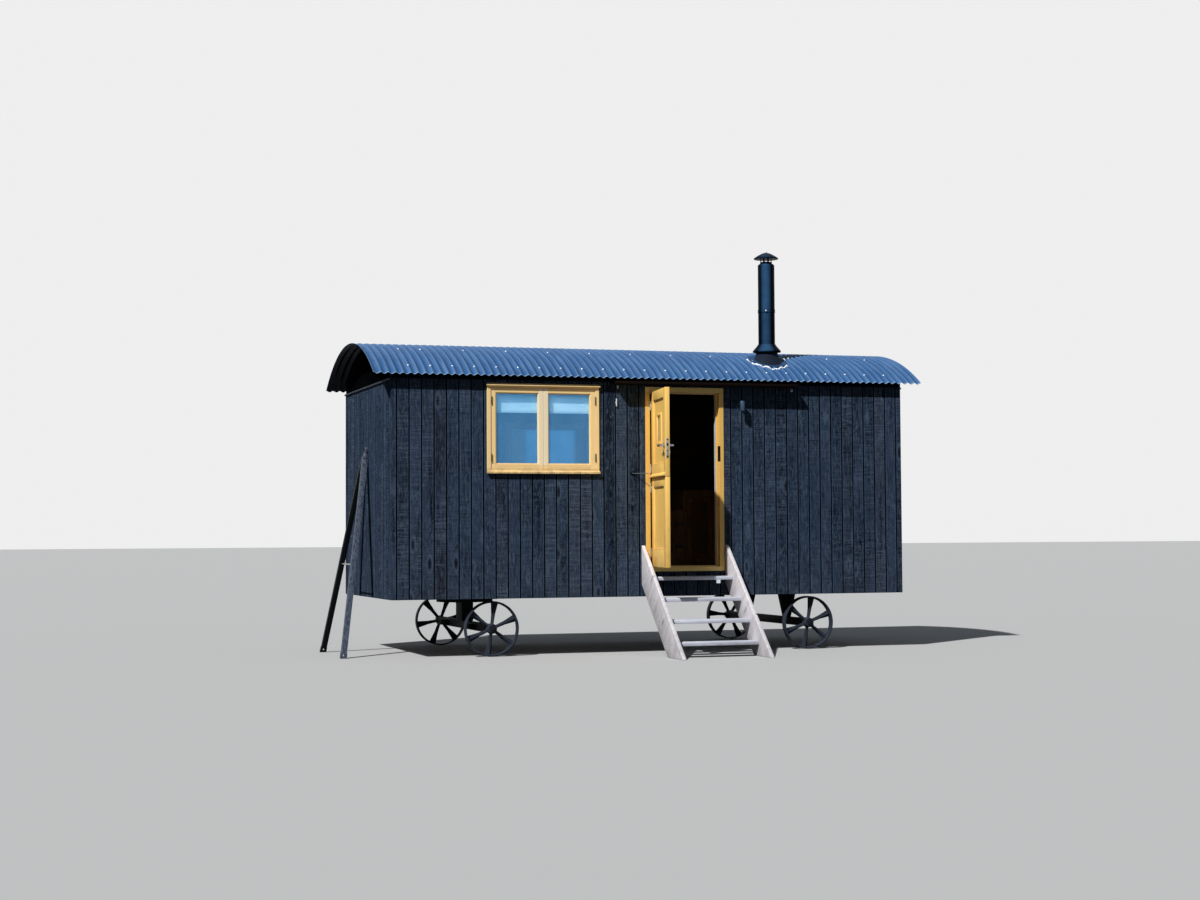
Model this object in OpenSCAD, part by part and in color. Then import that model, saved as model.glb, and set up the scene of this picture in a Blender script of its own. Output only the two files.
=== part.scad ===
// Shepherds hut: a boarded timber cabin with a curved corrugated roof on four cast wheels.
// Long walls run along X, the door side looks along -Y, Z is up and the ground is at zero.
// Pieces are drawn about the middle of the cabin, and placed() sets the middle of the
// whole footprint, with the steps and the drawbar, on the origin.

/* [Cabin] */
// Length over the end walls
body_l = 5600; // [5200:10:6400]
// Width over the long walls
body_w = 2440; // [2300:10:2600]
// Thickness of the walls
wall_t = 100; // [80:5:120]
// Thickness of the outer boards, which hang below the floor as a skirt
board_t = 22; // [16:1:28]
// Height of the lower edge of the skirt
skirt_z = 585; // [570:5:600]
// Height of the floor
floor_z = 841; // [815:1:870]
// Thickness of the floor
floor_t = 110; // [80:5:130]

/* [Roof] */
// Height of the roof at its crest
crest_z = 3240; // [3180:5:3320]
// Height of the roof at its eaves
eave_z = 2843; // [2835:1:2860]
// Reach of the roof past the long walls
eave_out = 100; // [80:5:140]
// Pitch of the corrugations
corr_pitch = 76.2; // [72:0.2:80]
// Depth of the corrugations
corr_depth = 19; // [14:1:22]
// Thickness of the sheets
sheet_t = 3; // [2:0.5:4]
// Number of sheets
sheet_n = 6; // [4:1:6]
// Corrugations that each sheet covers
sheet_corr = 13; // [12:1:14]
// Thickness of the insulated deck under the sheets
deck_t = 70; // [50:5:80]
// Height of the eaves boards
eave_board_h = 62; // [45:1:64]
// Thickness of the eaves boards
eave_board_t = 25; // [18:1:30]

/* [Gables] */
// Height of the drip rails, where the boarding ends and the arched infill starts
gable_z = 2812; // [2780:1:2820]
// Depth by which the arched infill is set back
gable_in = 12; // [5:1:20]
// Height of the drip rails
drip_h = 26; // [18:1:36]
// Reach of the drip rails past the boards
drip_out = 24; // [15:1:35]

/* [Door] */
// Distance of the doorway from the middle of the cabin
door_x = 309; // [150:5:500]
// Clear width of the doorway
door_w = 768; // [680:2:820]
// Height of the top of the door frame
door_top_z = 2760; // [2740:1:2765]
// Width of the frame's face
frame_face = 52; // [44:1:60]
// Height of the door sill
sill_h = 45; // [35:1:60]
// Reach of the frame past the boards
frame_out = 12; // [8:1:18]
// Thickness of the door leaves
leaf_t = 46; // [40:1:52]
// Height of the split between the two leaves
split_z = 1806; // [1750:1:1850]
// Width of the stiles
stile_w = 96; // [80:1:110]
// Angle at which the leaves stand open
open_deg = 99; // [80:1:115]
// Height of the glazed light in the upper leaf
light_z = 2300; // [2270:1:2330]
// Width of that light
light_w = 200; // [160:2:240]
// Height of that light
light_h = 270; // [200:2:300]
// Height of the lever handle
handle_z = 2118; // [2100:1:2130]

/* [Window] */
// Distance of the window from the middle of the cabin
win_x = -1230; // [-1400:5:-1100]
// Width over the window frame
win_w = 1192; // [1000:2:1300]
// Height of the lower edge of the window frame
win_z = 1850; // [1800:1:1900]
// Height over the window frame
win_h = 920; // [820:2:930]
// Width of the window frame's jambs
win_face = 40; // [32:1:50]
// Width of the casement stiles
casement_face = 50; // [40:1:60]
// Length that the roller blind hangs down
blind_drop = 205; // [100:5:400]
// Distance of the back window from the middle of the cabin
back_win_x = -520; // [-700:5:-400]
// Width over the back window frame
back_win_w = 930; // [800:2:1000]
// Height of the lower edge of the back window frame
back_win_z = 1900; // [1850:1:1950]
// Height over the back window frame
back_win_h = 600; // [520:2:660]

/* [Undercarriage] */
// Radius of the wheels
wheel_r = 280; // [260:1:281]
// Width of the rims
rim_w = 80; // [60:1:90]
// Thickness of the rims
rim_t = 20; // [14:1:26]
// Gap between the skirt and the wheels
wheel_in = 38; // [20:1:60]
// Number of spokes
spoke_n = 6; // [5:1:8]
// Place of the fore axle along the cabin
fore_axle_x = -1756; // [-1900:2:-1650]
// Place of the rear axle along the cabin
rear_axle_x = 1734; // [1650:2:1900]
// Radius of the axle stubs
stub_r = 25; // [20:1:30]
// Height and width of the axle beams
beam_w = 80; // [60:1:90]
// Distance of the chassis rails from the middle
rail_y = 560; // [480:5:620]
// Height of the chassis rails
rail_h = 100; // [80:2:120]
// Width of the chassis rails
rail_w = 50; // [40:2:60]
// Radius of the turntable ring
turn_r = 300; // [250:5:340]

/* [Steps] */
// Height at which the stringers meet the wall
string_top_z = 1120; // [1080:5:1150]
// Reach of the stringers from the wall at the ground
string_out = 1218; // [1150:2:1250]
// Thickness of the stringers
string_t = 40; // [30:1:45]
// Width of the stringers, along the ground
string_w = 443; // [400:1:480]
// Clear width between the stringers
step_w = 890; // [880:2:960]
// Height of the top tread
step_top_z = 790; // [760:1:810]
// Rise between treads
step_rise = 213; // [205:1:216]
// Number of treads
step_n = 4; // [3:1:4]
// Depth of the treads
tread_d = 215; // [190:1:230]
// Thickness of the treads
tread_t = 37; // [28:1:42]

/* [Flue] */
// Place of the flue along the cabin
flue_x = 1418; // [1300:5:1600]
// Distance of the flue from the outside of the long wall on the door side
flue_in = 400; // [360:5:620]
// Radius of the flue pipe
flue_r = 90; // [80:1:100]
// Radius of the flue's inner pipe
flue_bore_r = 65; // [55:1:70]
// Height of the top of the flue pipe
flue_top_z = 4150; // [3900:10:4300]
// Radius of the cowl
cowl_r = 132; // [115:1:150]

/* [Lamp and hood] */
// Place of the wall lamp along the cabin
lamp_x = 930; // [900:5:1100]
// Height of the middle of the lamp
lamp_z = 2571; // [2500:1:2640]
// Radius of the lamp
lamp_r = 26; // [20:1:35]
// Length of the lamp
lamp_h = 108; // [90:1:160]
// Left end of the hood board over the door
hood_x0 = -480; // [-600:5:-400]
// Right end of the hood board
hood_x1 = 1550; // [1300:5:1700]
// Reach of the hood board from the wall
hood_out = 150; // [120:5:180]
// Thickness of the hood board
hood_t = 28; // [20:1:32]

/* [Drawbar] */
// Length of the drawbar along its slope, from its feet to the top of its eye
bar_l = 2200; // [2000:10:2400]
// Reach of the drawbar's feet from the gable
bar_out = 420; // [350:5:500]
// Distance of the near foot from the middle
bar_near_y = -845; // [-900:5:-700]
// Distance of the far foot from the middle
bar_far_y = 326; // [250:5:500]
// Width of the drawbar's legs
bar_w = 55; // [45:1:65]

/* [Cupboard] */
// Left edge of the low cupboard seen through the doorway
cup_x = 640; // [560:5:700]
// Width of the low cupboard
cup_low_w = 340; // [300:5:400]
// Width of the tall cupboard
cup_tall_w = 420; // [380:5:500]
// Height of the low cupboard
cup_low_h = 645; // [560:5:700]
// Height of the tall cupboard
cup_tall_h = 870; // [800:5:950]
// Depth of the cupboards
cup_d = 480; // [400:5:560]

/* [Hidden] */

// Clearances and small allowances
seat = 0.3;
swing_gap = 6;
over = 1;
ring_fn = 96;
arc_fn = 180;

// Cabin, worked out
half_l = body_l / 2;
half_w = body_w / 2;
in_l = half_l - wall_t;
in_w = half_w - wall_t;
skirt_in_w = half_w - board_t;
skirt_in_l = half_l - board_t;
flue_y = flue_in - half_w;
floor_under_z = floor_z - floor_t;

// Roof arc through the eaves and the crest
eave_y = half_w + eave_out;
roof_rise = crest_z - eave_z;
roof_r = (eave_y * eave_y + roof_rise * roof_rise) / (2 * roof_rise);
arc_z = crest_z - roof_r;
roof_half_deg = asin(eave_y / roof_r);
crest_r = roof_r + corr_depth / 2;
valley_r = roof_r - corr_depth / 2;
deck_out_r = valley_r - sheet_t - seat;
deck_in_r = deck_out_r - deck_t;
wall_top_r = deck_in_r - seat;
wave_steps = 12;
roof_corr = sheet_n * sheet_corr + 1;
roof_l = roof_corr * corr_pitch;
eave_board_up = 25;
eave_board_z = eave_z - corr_depth / 2 - sheet_t - eave_board_up + seat;
fascia_lap = 14;
deck_l = body_l - 2 * (gable_in + seat);
drip_slope = 0.6;

// Door, worked out
wall_face_y = -half_w;
door_face_y = wall_face_y - frame_out;
door_x0 = door_x - door_w / 2;
door_x1 = door_x + door_w / 2;
frame_x0 = door_x0 - frame_face;
frame_x1 = door_x1 + frame_face;
head_z = door_top_z - frame_face;
sill_z = floor_z + sill_h;
leaf_in = 2;
leaf_face_y = door_face_y + leaf_in;
leaf_back_y = leaf_face_y + leaf_t;
leaf_x0 = door_x0 + swing_gap;
leaf_x1 = door_x1 - swing_gap;
upper_z0 = split_z + swing_gap / 2;
upper_z1 = head_z - swing_gap;
lower_z0 = sill_z + swing_gap;
lower_z1 = split_z - swing_gap / 2;
hinge_out = 8;
hinge_x = door_x0;
hinge_y = door_face_y - hinge_out;
knuckle_r = 7;
pin_r = 3.5;
pin_gap = 0.2;
knuckle_gap = 1;
flap_t = 2.5;
flap_d = 42;
flap_in = 0.5;
flap_back = 4;
hinge_h = 96;
hinge_in = 95;
hinge_zs_upper = [upper_z1 - hinge_in - hinge_h / 2, upper_z0 + hinge_in];
hinge_zs_lower = [lower_z1 - hinge_in, lower_z0 + hinge_in + hinge_h / 2];
stop_t = 12;
panel_in = 14;
mould_in = 3;
mould_w = 13;
upper_rail_low = 130;
upper_rail_high = 96;
lower_rail_low = 180;
lower_rail_high = 90;
lower_board_n = 3;
groove_w = 4;
groove_d = 3;
light_face = 26;
light_in = 4;
weather_out = 26;
weather_lip = 12;
weather_h = 38;
weather_end = 4;
rose_r = 26;
rose_t = 8;
neck_r = 9;
lever_l = 118;
lever_w = 18;
lever_t = 16;
lever_out = 48;
cylinder_down = 72;
lock_plate_t = 2;
lock_plate_in = 11;
lock_plate_up = 70;
lock_plate_down = 130;

// Windows, worked out
win_x0 = win_x - win_w / 2;
win_x1 = win_x + win_w / 2;
win_z1 = win_z + win_h;
win_out = 24;
win_head_h = 45;
win_sill_h = 45;
casement_t = 44;
casement_gap = 2;
casement_in = 8;
glass_t = 6;
win_face_y = wall_face_y - win_out;
casement_x0 = win_x0 + win_face + casement_gap;
casement_x1 = win_x1 - win_face - casement_gap;
casement_w = (casement_x1 - casement_x0 - casement_gap) / 2;
casement_z0 = win_z + win_sill_h + casement_gap;
casement_z1 = win_z1 - win_head_h - casement_gap;
casement_y = win_face_y + casement_in;
casement_hinge_l = 85;
casement_hinge_in = 120;
casement_hinge_r = 5;
casement_flap_out = 4;
casement_flap_back = 10;
drip_end = 8;
head_drip = [22, 4, 14, 28];
head_drip_up = 14;
sill_nose = [20, 20, 32];
roller_r = 18;
roller_y = -in_w - 36;
roller_z = win_z1 - win_head_h - 24;
cloth_t = 2;
cloth_in = 12;
hem_h = 24;
hem_front = 4;
hem_back = 6;
back_x0 = back_win_x - back_win_w / 2;
back_x1 = back_win_x + back_win_w / 2;
back_z1 = back_win_z + back_win_h;
back_light_w = (back_win_w - 3 * win_face) / 2 - casement_face;
back_light_in = win_face + casement_face / 2;
back_lights = [back_x0 + back_light_in, back_x1 - back_light_in - back_light_w];

// Undercarriage, worked out
wheel_y = skirt_in_w - wheel_in - rim_w / 2;
rim_edge = 4;
rim_lip = 6;
rim_rib_w = 20;
hub_r = 52;
hub_w = 120;
hub_gap = 5;
hub_edge = 10;
hub_band_w = 60;
spoke_t = 14;
spoke_hub_w = 30;
spoke_mid_w = 38;
spoke_rim_w = 72;
spoke_mid = 0.55;
spoke_lap = 2;
rib_t = 10;
rib_hub_w = 56;
rib_rim_w = 36;
fore_near_deg = 7;
fore_far_deg = 20;
rear_near_deg = 9;
rear_far_deg = 35;
nut_t = 10;
nut_wall = 9;
rail_end_in = 60;
rail_z = floor_under_z - rail_h;
cross_gap = 900;
bracket_top_w = 220;
bed_l = 120;
bed_w = 280;
bolster_x = 180;
bolster_w = 60;
bolster_h = 70;
ring_t = 20;
ring_w = 60;

// Steps, worked out
string_slope = string_top_z / string_out;
string_x0 = door_x - step_w / 2;
string_x1 = door_x + step_w / 2;
tread_back = 141;

// Drawbar, worked out
eye_t = 30;
eye_r = 42;
eye_bore_r = 22;
eye_neck = 62;
head_plate_h = 24;
shoe_h = 55;
shoe_out = 3;
head_spread = 34;
head_plate_end = 4;
neck_foot = 14;
neck_top = 6;
neck_down = 18;
tie_up = 950;
tie_r = 6;
pin_hole_r = 11;
pin_up = 28;
lug_t = 12;
lug_r = 28;
lug_out = 50;
lug_gap = 2;
lug_y = (bar_far_y - bar_near_y) / 2;
lug_pitch = bar_w + 2 * (shoe_out + lug_gap) + lug_t;
bar_foot_x = -half_l - bar_out;
bar_back = sqrt(bar_l * bar_l + eye_t * eye_t / 4);
bar_lean = asin((bar_out - seat) / bar_back) - atan2(eye_t / 2, bar_l);
leg_l = bar_l - eye_r - eye_neck - head_plate_h;

// Flue, worked out
flue_foot_in = 90;
flue_foot_z = arc_z + sqrt(deck_in_r * deck_in_r - flue_y * flue_y) - flue_foot_in;
flue_roof_z = arc_z + sqrt(roof_r * roof_r - flue_y * flue_y);
flue_rim = 12;
collar_up = 96;
collar_z = flue_roof_z + collar_up;
collar_band_h = 84;
collar_band_t = 8;
collar_skirt = [14, 70, 62, 14];
collar_sheet = [56, 10, 52, 60];
joint_up = 445;
joint_z = collar_z + joint_up;
joint_band_h = 24;
joint_band_t = 3;
joint_ease = 2;
cowl_up = 62;
cowl_lip = [-6, 4];
cowl_steps = [[0.75, 26], [0.4, 52], [0.14, 64]];
cowl_h = 66;
cowl_sleeve_t = 8;
cowl_sleeve_in = 40;
cowl_sleeve_out = 22;
cowl_leg_n = 4;
cowl_leg_w = 20;
cowl_leg_t = 4;
cowl_leg_in = 7;
boot_foot_wall = 88;
boot_top_wall = 22;
boot_down = 90;
saddle_wall = 125;
saddle_t = 4;
saddle_deep = 200;

// Lamp, hood and hook
hood_top_z = eave_board_z - seat;
hood_groove = [14, 6, 6];
lamp_out = 85;
lamp_base_r = 30;
lamp_base_t = 14;
lamp_arm_r = 9;
lamp_wall = 3;
lamp_end = 21;
stay_z = 1857;
stay_x = -262;
stay_plate_w = 44;
stay_plate_t = 4;
stay_pin_r = 5;
stay_pin_l = 20;
stay_in = 2;
stay_r = 4;
stay_l = 165;
stay_deg = 42;

// Cupboard, worked out
cup_tall_x = cup_x + cup_low_w;
cup_stile = 55;
cup_plinth = 110;
cup_rail = 60;
cup_sunk = 12;

// Middle of the footprint
foot_x0 = bar_foot_x - (bar_w / 2 + shoe_out) / cos(bar_lean);
foot_x1 = roof_l / 2;
foot_y0 = wall_face_y - string_out;
foot_y1 = eave_y + corr_depth / 2 * sin(roof_half_deg);

module placed() {
    translate([-(foot_x0 + foot_x1) / 2, -(foot_y0 + foot_y1) / 2, 0])
        children();
}

// A box between two corners
module block(low, high) {
    translate(low)
        cube([high[0] - low[0], high[1] - low[1], high[2] - low[2]]);
}

// A round bar along an axis, from a point
module rod(at, axis, r, length, fn = 32) {
    turn = axis == "x" ? [0, 90, 0] : axis == "y" ? [-90, 0, 0] : [0, 0, 0];
    translate(at)
        rotate(turn)
            cylinder(r = r, h = length, $fn = fn);
}

// All that lies below an arc of the roof
module under_arc(r) {
    translate([-body_l, 0, arc_z])
        rotate([0, 90, 0])
            cylinder(r = r, h = 2 * body_l, $fn = arc_fn);
}

// A profile of radius against length, swept round the roof's arc
module roof_sweep(half_deg) {
    translate([0, 0, arc_z])
        rotate([0, 90, 0])
            rotate([0, 0, 180 - half_deg])
                rotate_extrude(angle = 2 * half_deg, $fn = arc_fn)
                    children();
}

// Section of a long wall: the insulated wall above the floor and the board skirt below it
module long_wall(x0, x1, z0) {
    intersection() {
        union() {
            block([x0, wall_face_y, max(z0, floor_z)], [x1, -in_w, crest_z]);
            if (z0 < floor_z)
                block([x0, wall_face_y, z0], [x1, -skirt_in_w, floor_z + over]);
        }
        under_arc(wall_top_r);
    }
}

module end_wall(side) {
    scale_x = side > 0 ? 0 : 1;
    mirror([scale_x, 0, 0]) {
        block([in_l, -in_w, floor_z], [half_l, in_w, gable_z]);
        block([skirt_in_l, -skirt_in_w, skirt_z], [half_l, skirt_in_w, floor_z]);
    }
}

// Arched infill over a gable, under the fascia that hides the end of the deck
module gable_arch(side) {
    scale_x = side > 0 ? 0 : 1;
    mirror([scale_x, 0, 0]) {
        intersection() {
            block([in_l, -in_w, gable_z], [half_l - gable_in, in_w, crest_z]);
            under_arc(wall_top_r);
        }
        gable_fascia(deck_in_r, half_w);
        gable_fascia(deck_in_r - fascia_lap, in_w);
    }
}

// Arched strip from a radius up to the top of the deck, as wide as its half width says
module gable_fascia(low_r, half) {
    intersection() {
        roof_sweep(roof_half_deg)
            translate([low_r, half_l - gable_in])
                square([deck_out_r - low_r, gable_in]);
        block([0, -half, 0], [body_l, half, 2 * crest_z]);
    }
}

module front_wall_left() {
    color("#23262b")
        difference() {
            long_wall(-half_l, frame_x0, skirt_z);
            block([win_x0, wall_face_y - over, win_z], [win_x1, -in_w + over, win_z1]);
        }
}

module front_wall_right() {
    color("#23262b")
        long_wall(frame_x1, half_l, skirt_z);
}

// Short lengths of wall over and under the door frame
module front_wall_at_door() {
    color("#23262b") {
        long_wall(frame_x0, frame_x1, door_top_z);
        block([frame_x0, wall_face_y, skirt_z], [frame_x1, -skirt_in_w, floor_z]);
    }
}

module back_wall() {
    color("#23262b")
        difference() {
            mirror([0, 1, 0])
                long_wall(-half_l, half_l, skirt_z);
            block([back_x0, in_w - over, back_win_z], [back_x1, half_w + over, back_z1]);
        }
}

module left_end_wall() {
    color("#23262b")
        end_wall(-1);
}

module right_end_wall() {
    color("#23262b")
        end_wall(1);
}

module gable_arches() {
    color("#191b1f")
        for (side = [-1, 1])
            gable_arch(side);
}

// Rails with a sloped top, under the arched infill
module gable_drip_rails() {
    color("#2b2e33")
        for (side = [0, 1])
            mirror([side, 0, 0])
                translate([half_l, half_w, gable_z - drip_h])
                    rotate([90, 0, 0])
                        linear_extrude(2 * half_w)
                            polygon([[0, 0], [drip_out, 0], [drip_out, drip_h * drip_slope],
                                     [0, drip_h]]);
}

module floor() {
    color("#b08a5a")
        block([-skirt_in_l, -skirt_in_w, floor_under_z], [skirt_in_l, skirt_in_w, floor_z]);
}

module chassis_rails() {
    color("#1d1e20")
        for (side = [-1, 1])
            block([-skirt_in_l + rail_end_in, side * rail_y - rail_w / 2, rail_z],
                  [skirt_in_l - rail_end_in, side * rail_y + rail_w / 2, floor_under_z]);
}

module chassis_crossmembers() {
    inner = rail_y - rail_w / 2;
    end_x = skirt_in_l - rail_end_in;
    color("#1d1e20")
        for (x = [-end_x, -cross_gap, 0, cross_gap, end_x - rail_w])
            block([x, -inner, rail_z], [x + rail_w, inner, floor_under_z]);
}

// Beam with a round stub at each end, which the wheels turn on
module axle_beam(x) {
    stub_end = wheel_y + hub_w / 2 + hub_gap;
    beam_end = wheel_y - hub_w / 2 - hub_gap;
    translate([x, 0, wheel_r]) {
        translate([-beam_w / 2, -beam_end, -beam_w / 2])
            cube([beam_w, 2 * beam_end, beam_w]);
        rod([0, -stub_end, 0], "y", stub_r, 2 * stub_end, 48);
        for (side = [-1, 1])
            rod([0, side * (stub_end + nut_t / 2) - nut_t / 2, 0], "y", stub_r + nut_wall, nut_t, 6);
    }
}

// Ear with a hole for the drawbar's pin, on the front of the fore axle
module pin_lug(y) {
    translate([fore_axle_x - beam_w / 2, y + lug_t / 2, wheel_r])
        rotate([90, 0, 0])
            linear_extrude(lug_t)
                difference() {
                    union() {
                        translate([-lug_out, 0])
                            circle(r = lug_r, $fn = 32);
                        translate([-lug_out, -lug_r])
                            square([lug_out, 2 * lug_r]);
                    }
                    translate([-lug_out, 0])
                        circle(r = pin_hole_r, $fn = 32);
                }
}

module fore_axle() {
    color("#1d1e20") {
        axle_beam(fore_axle_x);
        block([fore_axle_x - bed_l / 2, -bed_w / 2, wheel_r + beam_w / 2],
              [fore_axle_x + bed_l / 2, bed_w / 2, rail_z - bolster_h - 2 * ring_t - seat]);
        for (side = [-1, 1])
            for (step = [-1, 1])
                pin_lug(side * lug_y + step * lug_pitch / 2);
    }
}

// Two steel rings that the fore axle steers on, and the bolsters that carry them
module turntable() {
    top_z = rail_z - bolster_h;
    color("#2a2b2d") {
        for (dx = [-bolster_x, bolster_x])
            block([fore_axle_x + dx - bolster_w / 2, -rail_y - rail_w / 2, top_z],
                  [fore_axle_x + dx + bolster_w / 2, rail_y + rail_w / 2, rail_z]);
        translate([fore_axle_x, 0, top_z - ring_t])
            difference() {
                cylinder(r = turn_r, h = ring_t, $fn = ring_fn);
                translate([0, 0, -over])
                    cylinder(r = turn_r - ring_w, h = ring_t + 2 * over, $fn = ring_fn);
            }
        translate([fore_axle_x, 0, top_z - 2 * ring_t - seat])
            cylinder(r = turn_r, h = ring_t, $fn = ring_fn);
    }
}

module rear_axle() {
    color("#1d1e20") {
        axle_beam(rear_axle_x);
        for (side = [-1, 1])
            translate([rear_axle_x, side * rail_y + rail_w / 2, wheel_r + beam_w / 2])
                rotate([90, 0, 0])
                    linear_extrude(rail_w)
                        polygon([[-beam_w / 2, 0], [beam_w / 2, 0],
                                 [bracket_top_w / 2, rail_z - wheel_r - beam_w / 2],
                                 [-bracket_top_w / 2, rail_z - wheel_r - beam_w / 2]]);
    }
}

// Spoke with a broad web that widens to the rim and a rib along its middle
module spoke() {
    start_r = hub_r - hub_edge;
    end_r = wheel_r - rim_t + spoke_lap;
    mid_r = end_r * spoke_mid;
    rotate([90, 0, 0])
        translate([0, 0, -spoke_t / 2])
            linear_extrude(spoke_t)
                polygon([[-spoke_hub_w / 2, start_r], [spoke_hub_w / 2, start_r],
                         [spoke_mid_w / 2, mid_r], [spoke_rim_w / 2, end_r],
                         [-spoke_rim_w / 2, end_r], [-spoke_mid_w / 2, mid_r]]);
    rotate([90, 0, 90])
        translate([0, 0, -rib_t / 2])
            linear_extrude(rib_t)
                polygon([[-rib_hub_w / 2, start_r], [rib_hub_w / 2, start_r],
                         [rib_rim_w / 2, end_r], [-rib_rim_w / 2, end_r]]);
}

// Half section of the tyre and its lipped rim, and of the hub, as radius against width
module wheel_section() {
    rim_in = wheel_r - rim_t;
    polygon([[wheel_r, -rim_w / 2 + rim_edge], [wheel_r, rim_w / 2 - rim_edge],
             [wheel_r - rim_edge, rim_w / 2], [rim_in + rim_lip, rim_w / 2],
             [rim_in, rim_rib_w / 2], [rim_in, -rim_rib_w / 2],
             [rim_in + rim_lip, -rim_w / 2], [wheel_r - rim_edge, -rim_w / 2]]);
    polygon([[0, -hub_w / 2], [hub_r - hub_edge, -hub_w / 2], [hub_r, -hub_band_w / 2],
             [hub_r, hub_band_w / 2], [hub_r - hub_edge, hub_w / 2], [0, hub_w / 2]]);
}

// Cast wheel with its axle along Y, turned to start_deg
module wheel(x, y, start_deg) {
    translate([x, y, wheel_r])
        rotate([0, start_deg, 0])
            difference() {
                union() {
                    rotate([90, 0, 0])
                        rotate_extrude($fn = ring_fn)
                            wheel_section();
                    for (i = [0:spoke_n - 1])
                        rotate([0, i * 360 / spoke_n, 0])
                            spoke();
                }
                rod([0, -hub_w, 0], "y", stub_r + pin_gap, 2 * hub_w, 48);
            }
}

module wheel_fore_near() {
    color("#2c2e31")
        wheel(fore_axle_x, -wheel_y, fore_near_deg);
}

module wheel_fore_far() {
    color("#2c2e31")
        wheel(fore_axle_x, wheel_y, fore_far_deg);
}

module wheel_rear_near() {
    color("#2c2e31")
        wheel(rear_axle_x, -wheel_y, rear_near_deg);
}

module wheel_rear_far() {
    color("#2c2e31")
        wheel(rear_axle_x, wheel_y, rear_far_deg);
}

// Corrugated section: a wave of radius against length, one sheet thick
function wave_r(step) = corr_depth / 2 * cos(360 * step / wave_steps);

module wave_profile(corr_count) {
    steps = corr_count * wave_steps;
    outer = [for (i = [0:steps]) [roof_r + wave_r(i), i * corr_pitch / wave_steps]];
    inner = [for (i = [steps:-1:0]) [roof_r + wave_r(i) - sheet_t, i * corr_pitch / wave_steps]];
    polygon(concat(outer, inner));
}

// One curved sheet; the last one shows its lapping corrugation as well
module roof_sheet(i) {
    count = i < sheet_n ? sheet_corr : sheet_corr + 1;
    x0 = -roof_l / 2 + (i - 1) * sheet_corr * corr_pitch;
    color("#3f4a5c")
        difference() {
            translate([x0, 0, 0])
                roof_sweep(roof_half_deg)
                    wave_profile(count);
            flue_hole();
        }
}

module flue_hole() {
    translate([flue_x, flue_y, floor_z])
        cylinder(r = flue_r + seat, h = crest_z, $fn = ring_fn);
}

module roof_deck() {
    color("#c9a878")
        difference() {
            intersection() {
                roof_sweep(roof_half_deg)
                    translate([deck_in_r, -deck_l / 2])
                        square([deck_t, deck_l]);
                block([-body_l, -half_w, 0], [body_l, half_w, 2 * crest_z]);
            }
            flue_hole();
        }
}

module eaves_boards() {
    color("#1b1d21")
        for (side = [0, 1])
            mirror([0, side, 0])
                intersection() {
                    block([-half_l, wall_face_y - eave_board_t, eave_board_z],
                          [half_l, wall_face_y, eave_board_z + eave_board_h]);
                    under_arc(deck_out_r);
                }
}

// Twin-wall pipe with a locking band round its joint
module flue_pipe() {
    band_r = flue_r + joint_band_t;
    half = joint_band_h / 2;
    color("#22252a")
        translate([flue_x, flue_y, 0])
            rotate_extrude($fn = ring_fn)
                polygon([[flue_bore_r, flue_foot_z], [flue_r, flue_foot_z],
                         [flue_r, joint_z - half], [band_r, joint_z - half + joint_ease],
                         [band_r, joint_z + half - joint_ease], [flue_r, joint_z + half],
                         [flue_r, flue_top_z - flue_rim], [flue_r - flue_rim, flue_top_z],
                         [flue_bore_r, flue_top_z]]);
}

// Cap over the flue, on four straps from a sleeve in the pipe
module flue_cowl() {
    cap_z = flue_top_z + cowl_up;
    sleeve_r = flue_bore_r - cowl_sleeve_t;
    sleeve_low = flue_top_z - cowl_sleeve_in;
    sleeve_high = flue_top_z + cowl_sleeve_out;
    strap_r = flue_bore_r - cowl_leg_in;
    dome = [for (step = cowl_steps) [cowl_r * step[0], cap_z + step[1]]];
    color("#22252a")
        translate([flue_x, flue_y, 0]) {
            rotate_extrude($fn = ring_fn)
                polygon(concat([[0, cap_z], [cowl_r, cap_z + cowl_lip[0]],
                                [cowl_r, cap_z + cowl_lip[1]]],
                               dome, [[0, cap_z + cowl_h]]));
            rotate_extrude($fn = ring_fn)
                polygon([[sleeve_r, sleeve_low], [flue_bore_r - seat, sleeve_low],
                         [flue_bore_r - seat, sleeve_high], [sleeve_r, sleeve_high]]);
            for (i = [0:cowl_leg_n - 1])
                rotate([0, 0, (i + 0.5) * 360 / cowl_leg_n])
                    block([strap_r, -cowl_leg_w / 2, flue_top_z],
                          [strap_r + cowl_leg_t, cowl_leg_w / 2, cap_z + cowl_lip[1]]);
        }
}

// Storm collar: a band round the pipe with a skirt that throws the rain off the boot
module flue_collar() {
    color("#22252a")
        translate([flue_x, flue_y, collar_z])
            rotate_extrude($fn = ring_fn)
                polygon([[flue_r + seat, collar_band_h], [flue_r + collar_band_t, collar_band_h],
                         [flue_r + collar_skirt[0], collar_skirt[1]],
                         [flue_r + collar_skirt[2], collar_skirt[3]],
                         [flue_r + collar_skirt[2], 0], [flue_r + collar_sheet[0], 0],
                         [flue_r + collar_sheet[1], collar_sheet[2]],
                         [flue_r + seat, collar_sheet[3]]]);
}

// Rubber boot: a cone on a saddle plate that lies on the crests of the sheets
module flue_boot() {
    color("#18191b")
        difference() {
            translate([flue_x, flue_y, 0])
                union() {
                    translate([0, 0, flue_roof_z - boot_down])
                        cylinder(r1 = flue_r + boot_foot_wall, r2 = flue_r + boot_top_wall,
                                 h = boot_down + collar_up + seat, $fn = ring_fn);
                    intersection() {
                        translate([0, 0, flue_roof_z - saddle_deep])
                            cylinder(r = flue_r + saddle_wall, h = 2 * saddle_deep, $fn = ring_fn);
                        translate([-flue_x, -flue_y, 0])
                            under_arc(crest_r + seat + saddle_t);
                    }
                }
            under_arc(crest_r + seat);
            flue_hole();
        }
}

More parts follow.
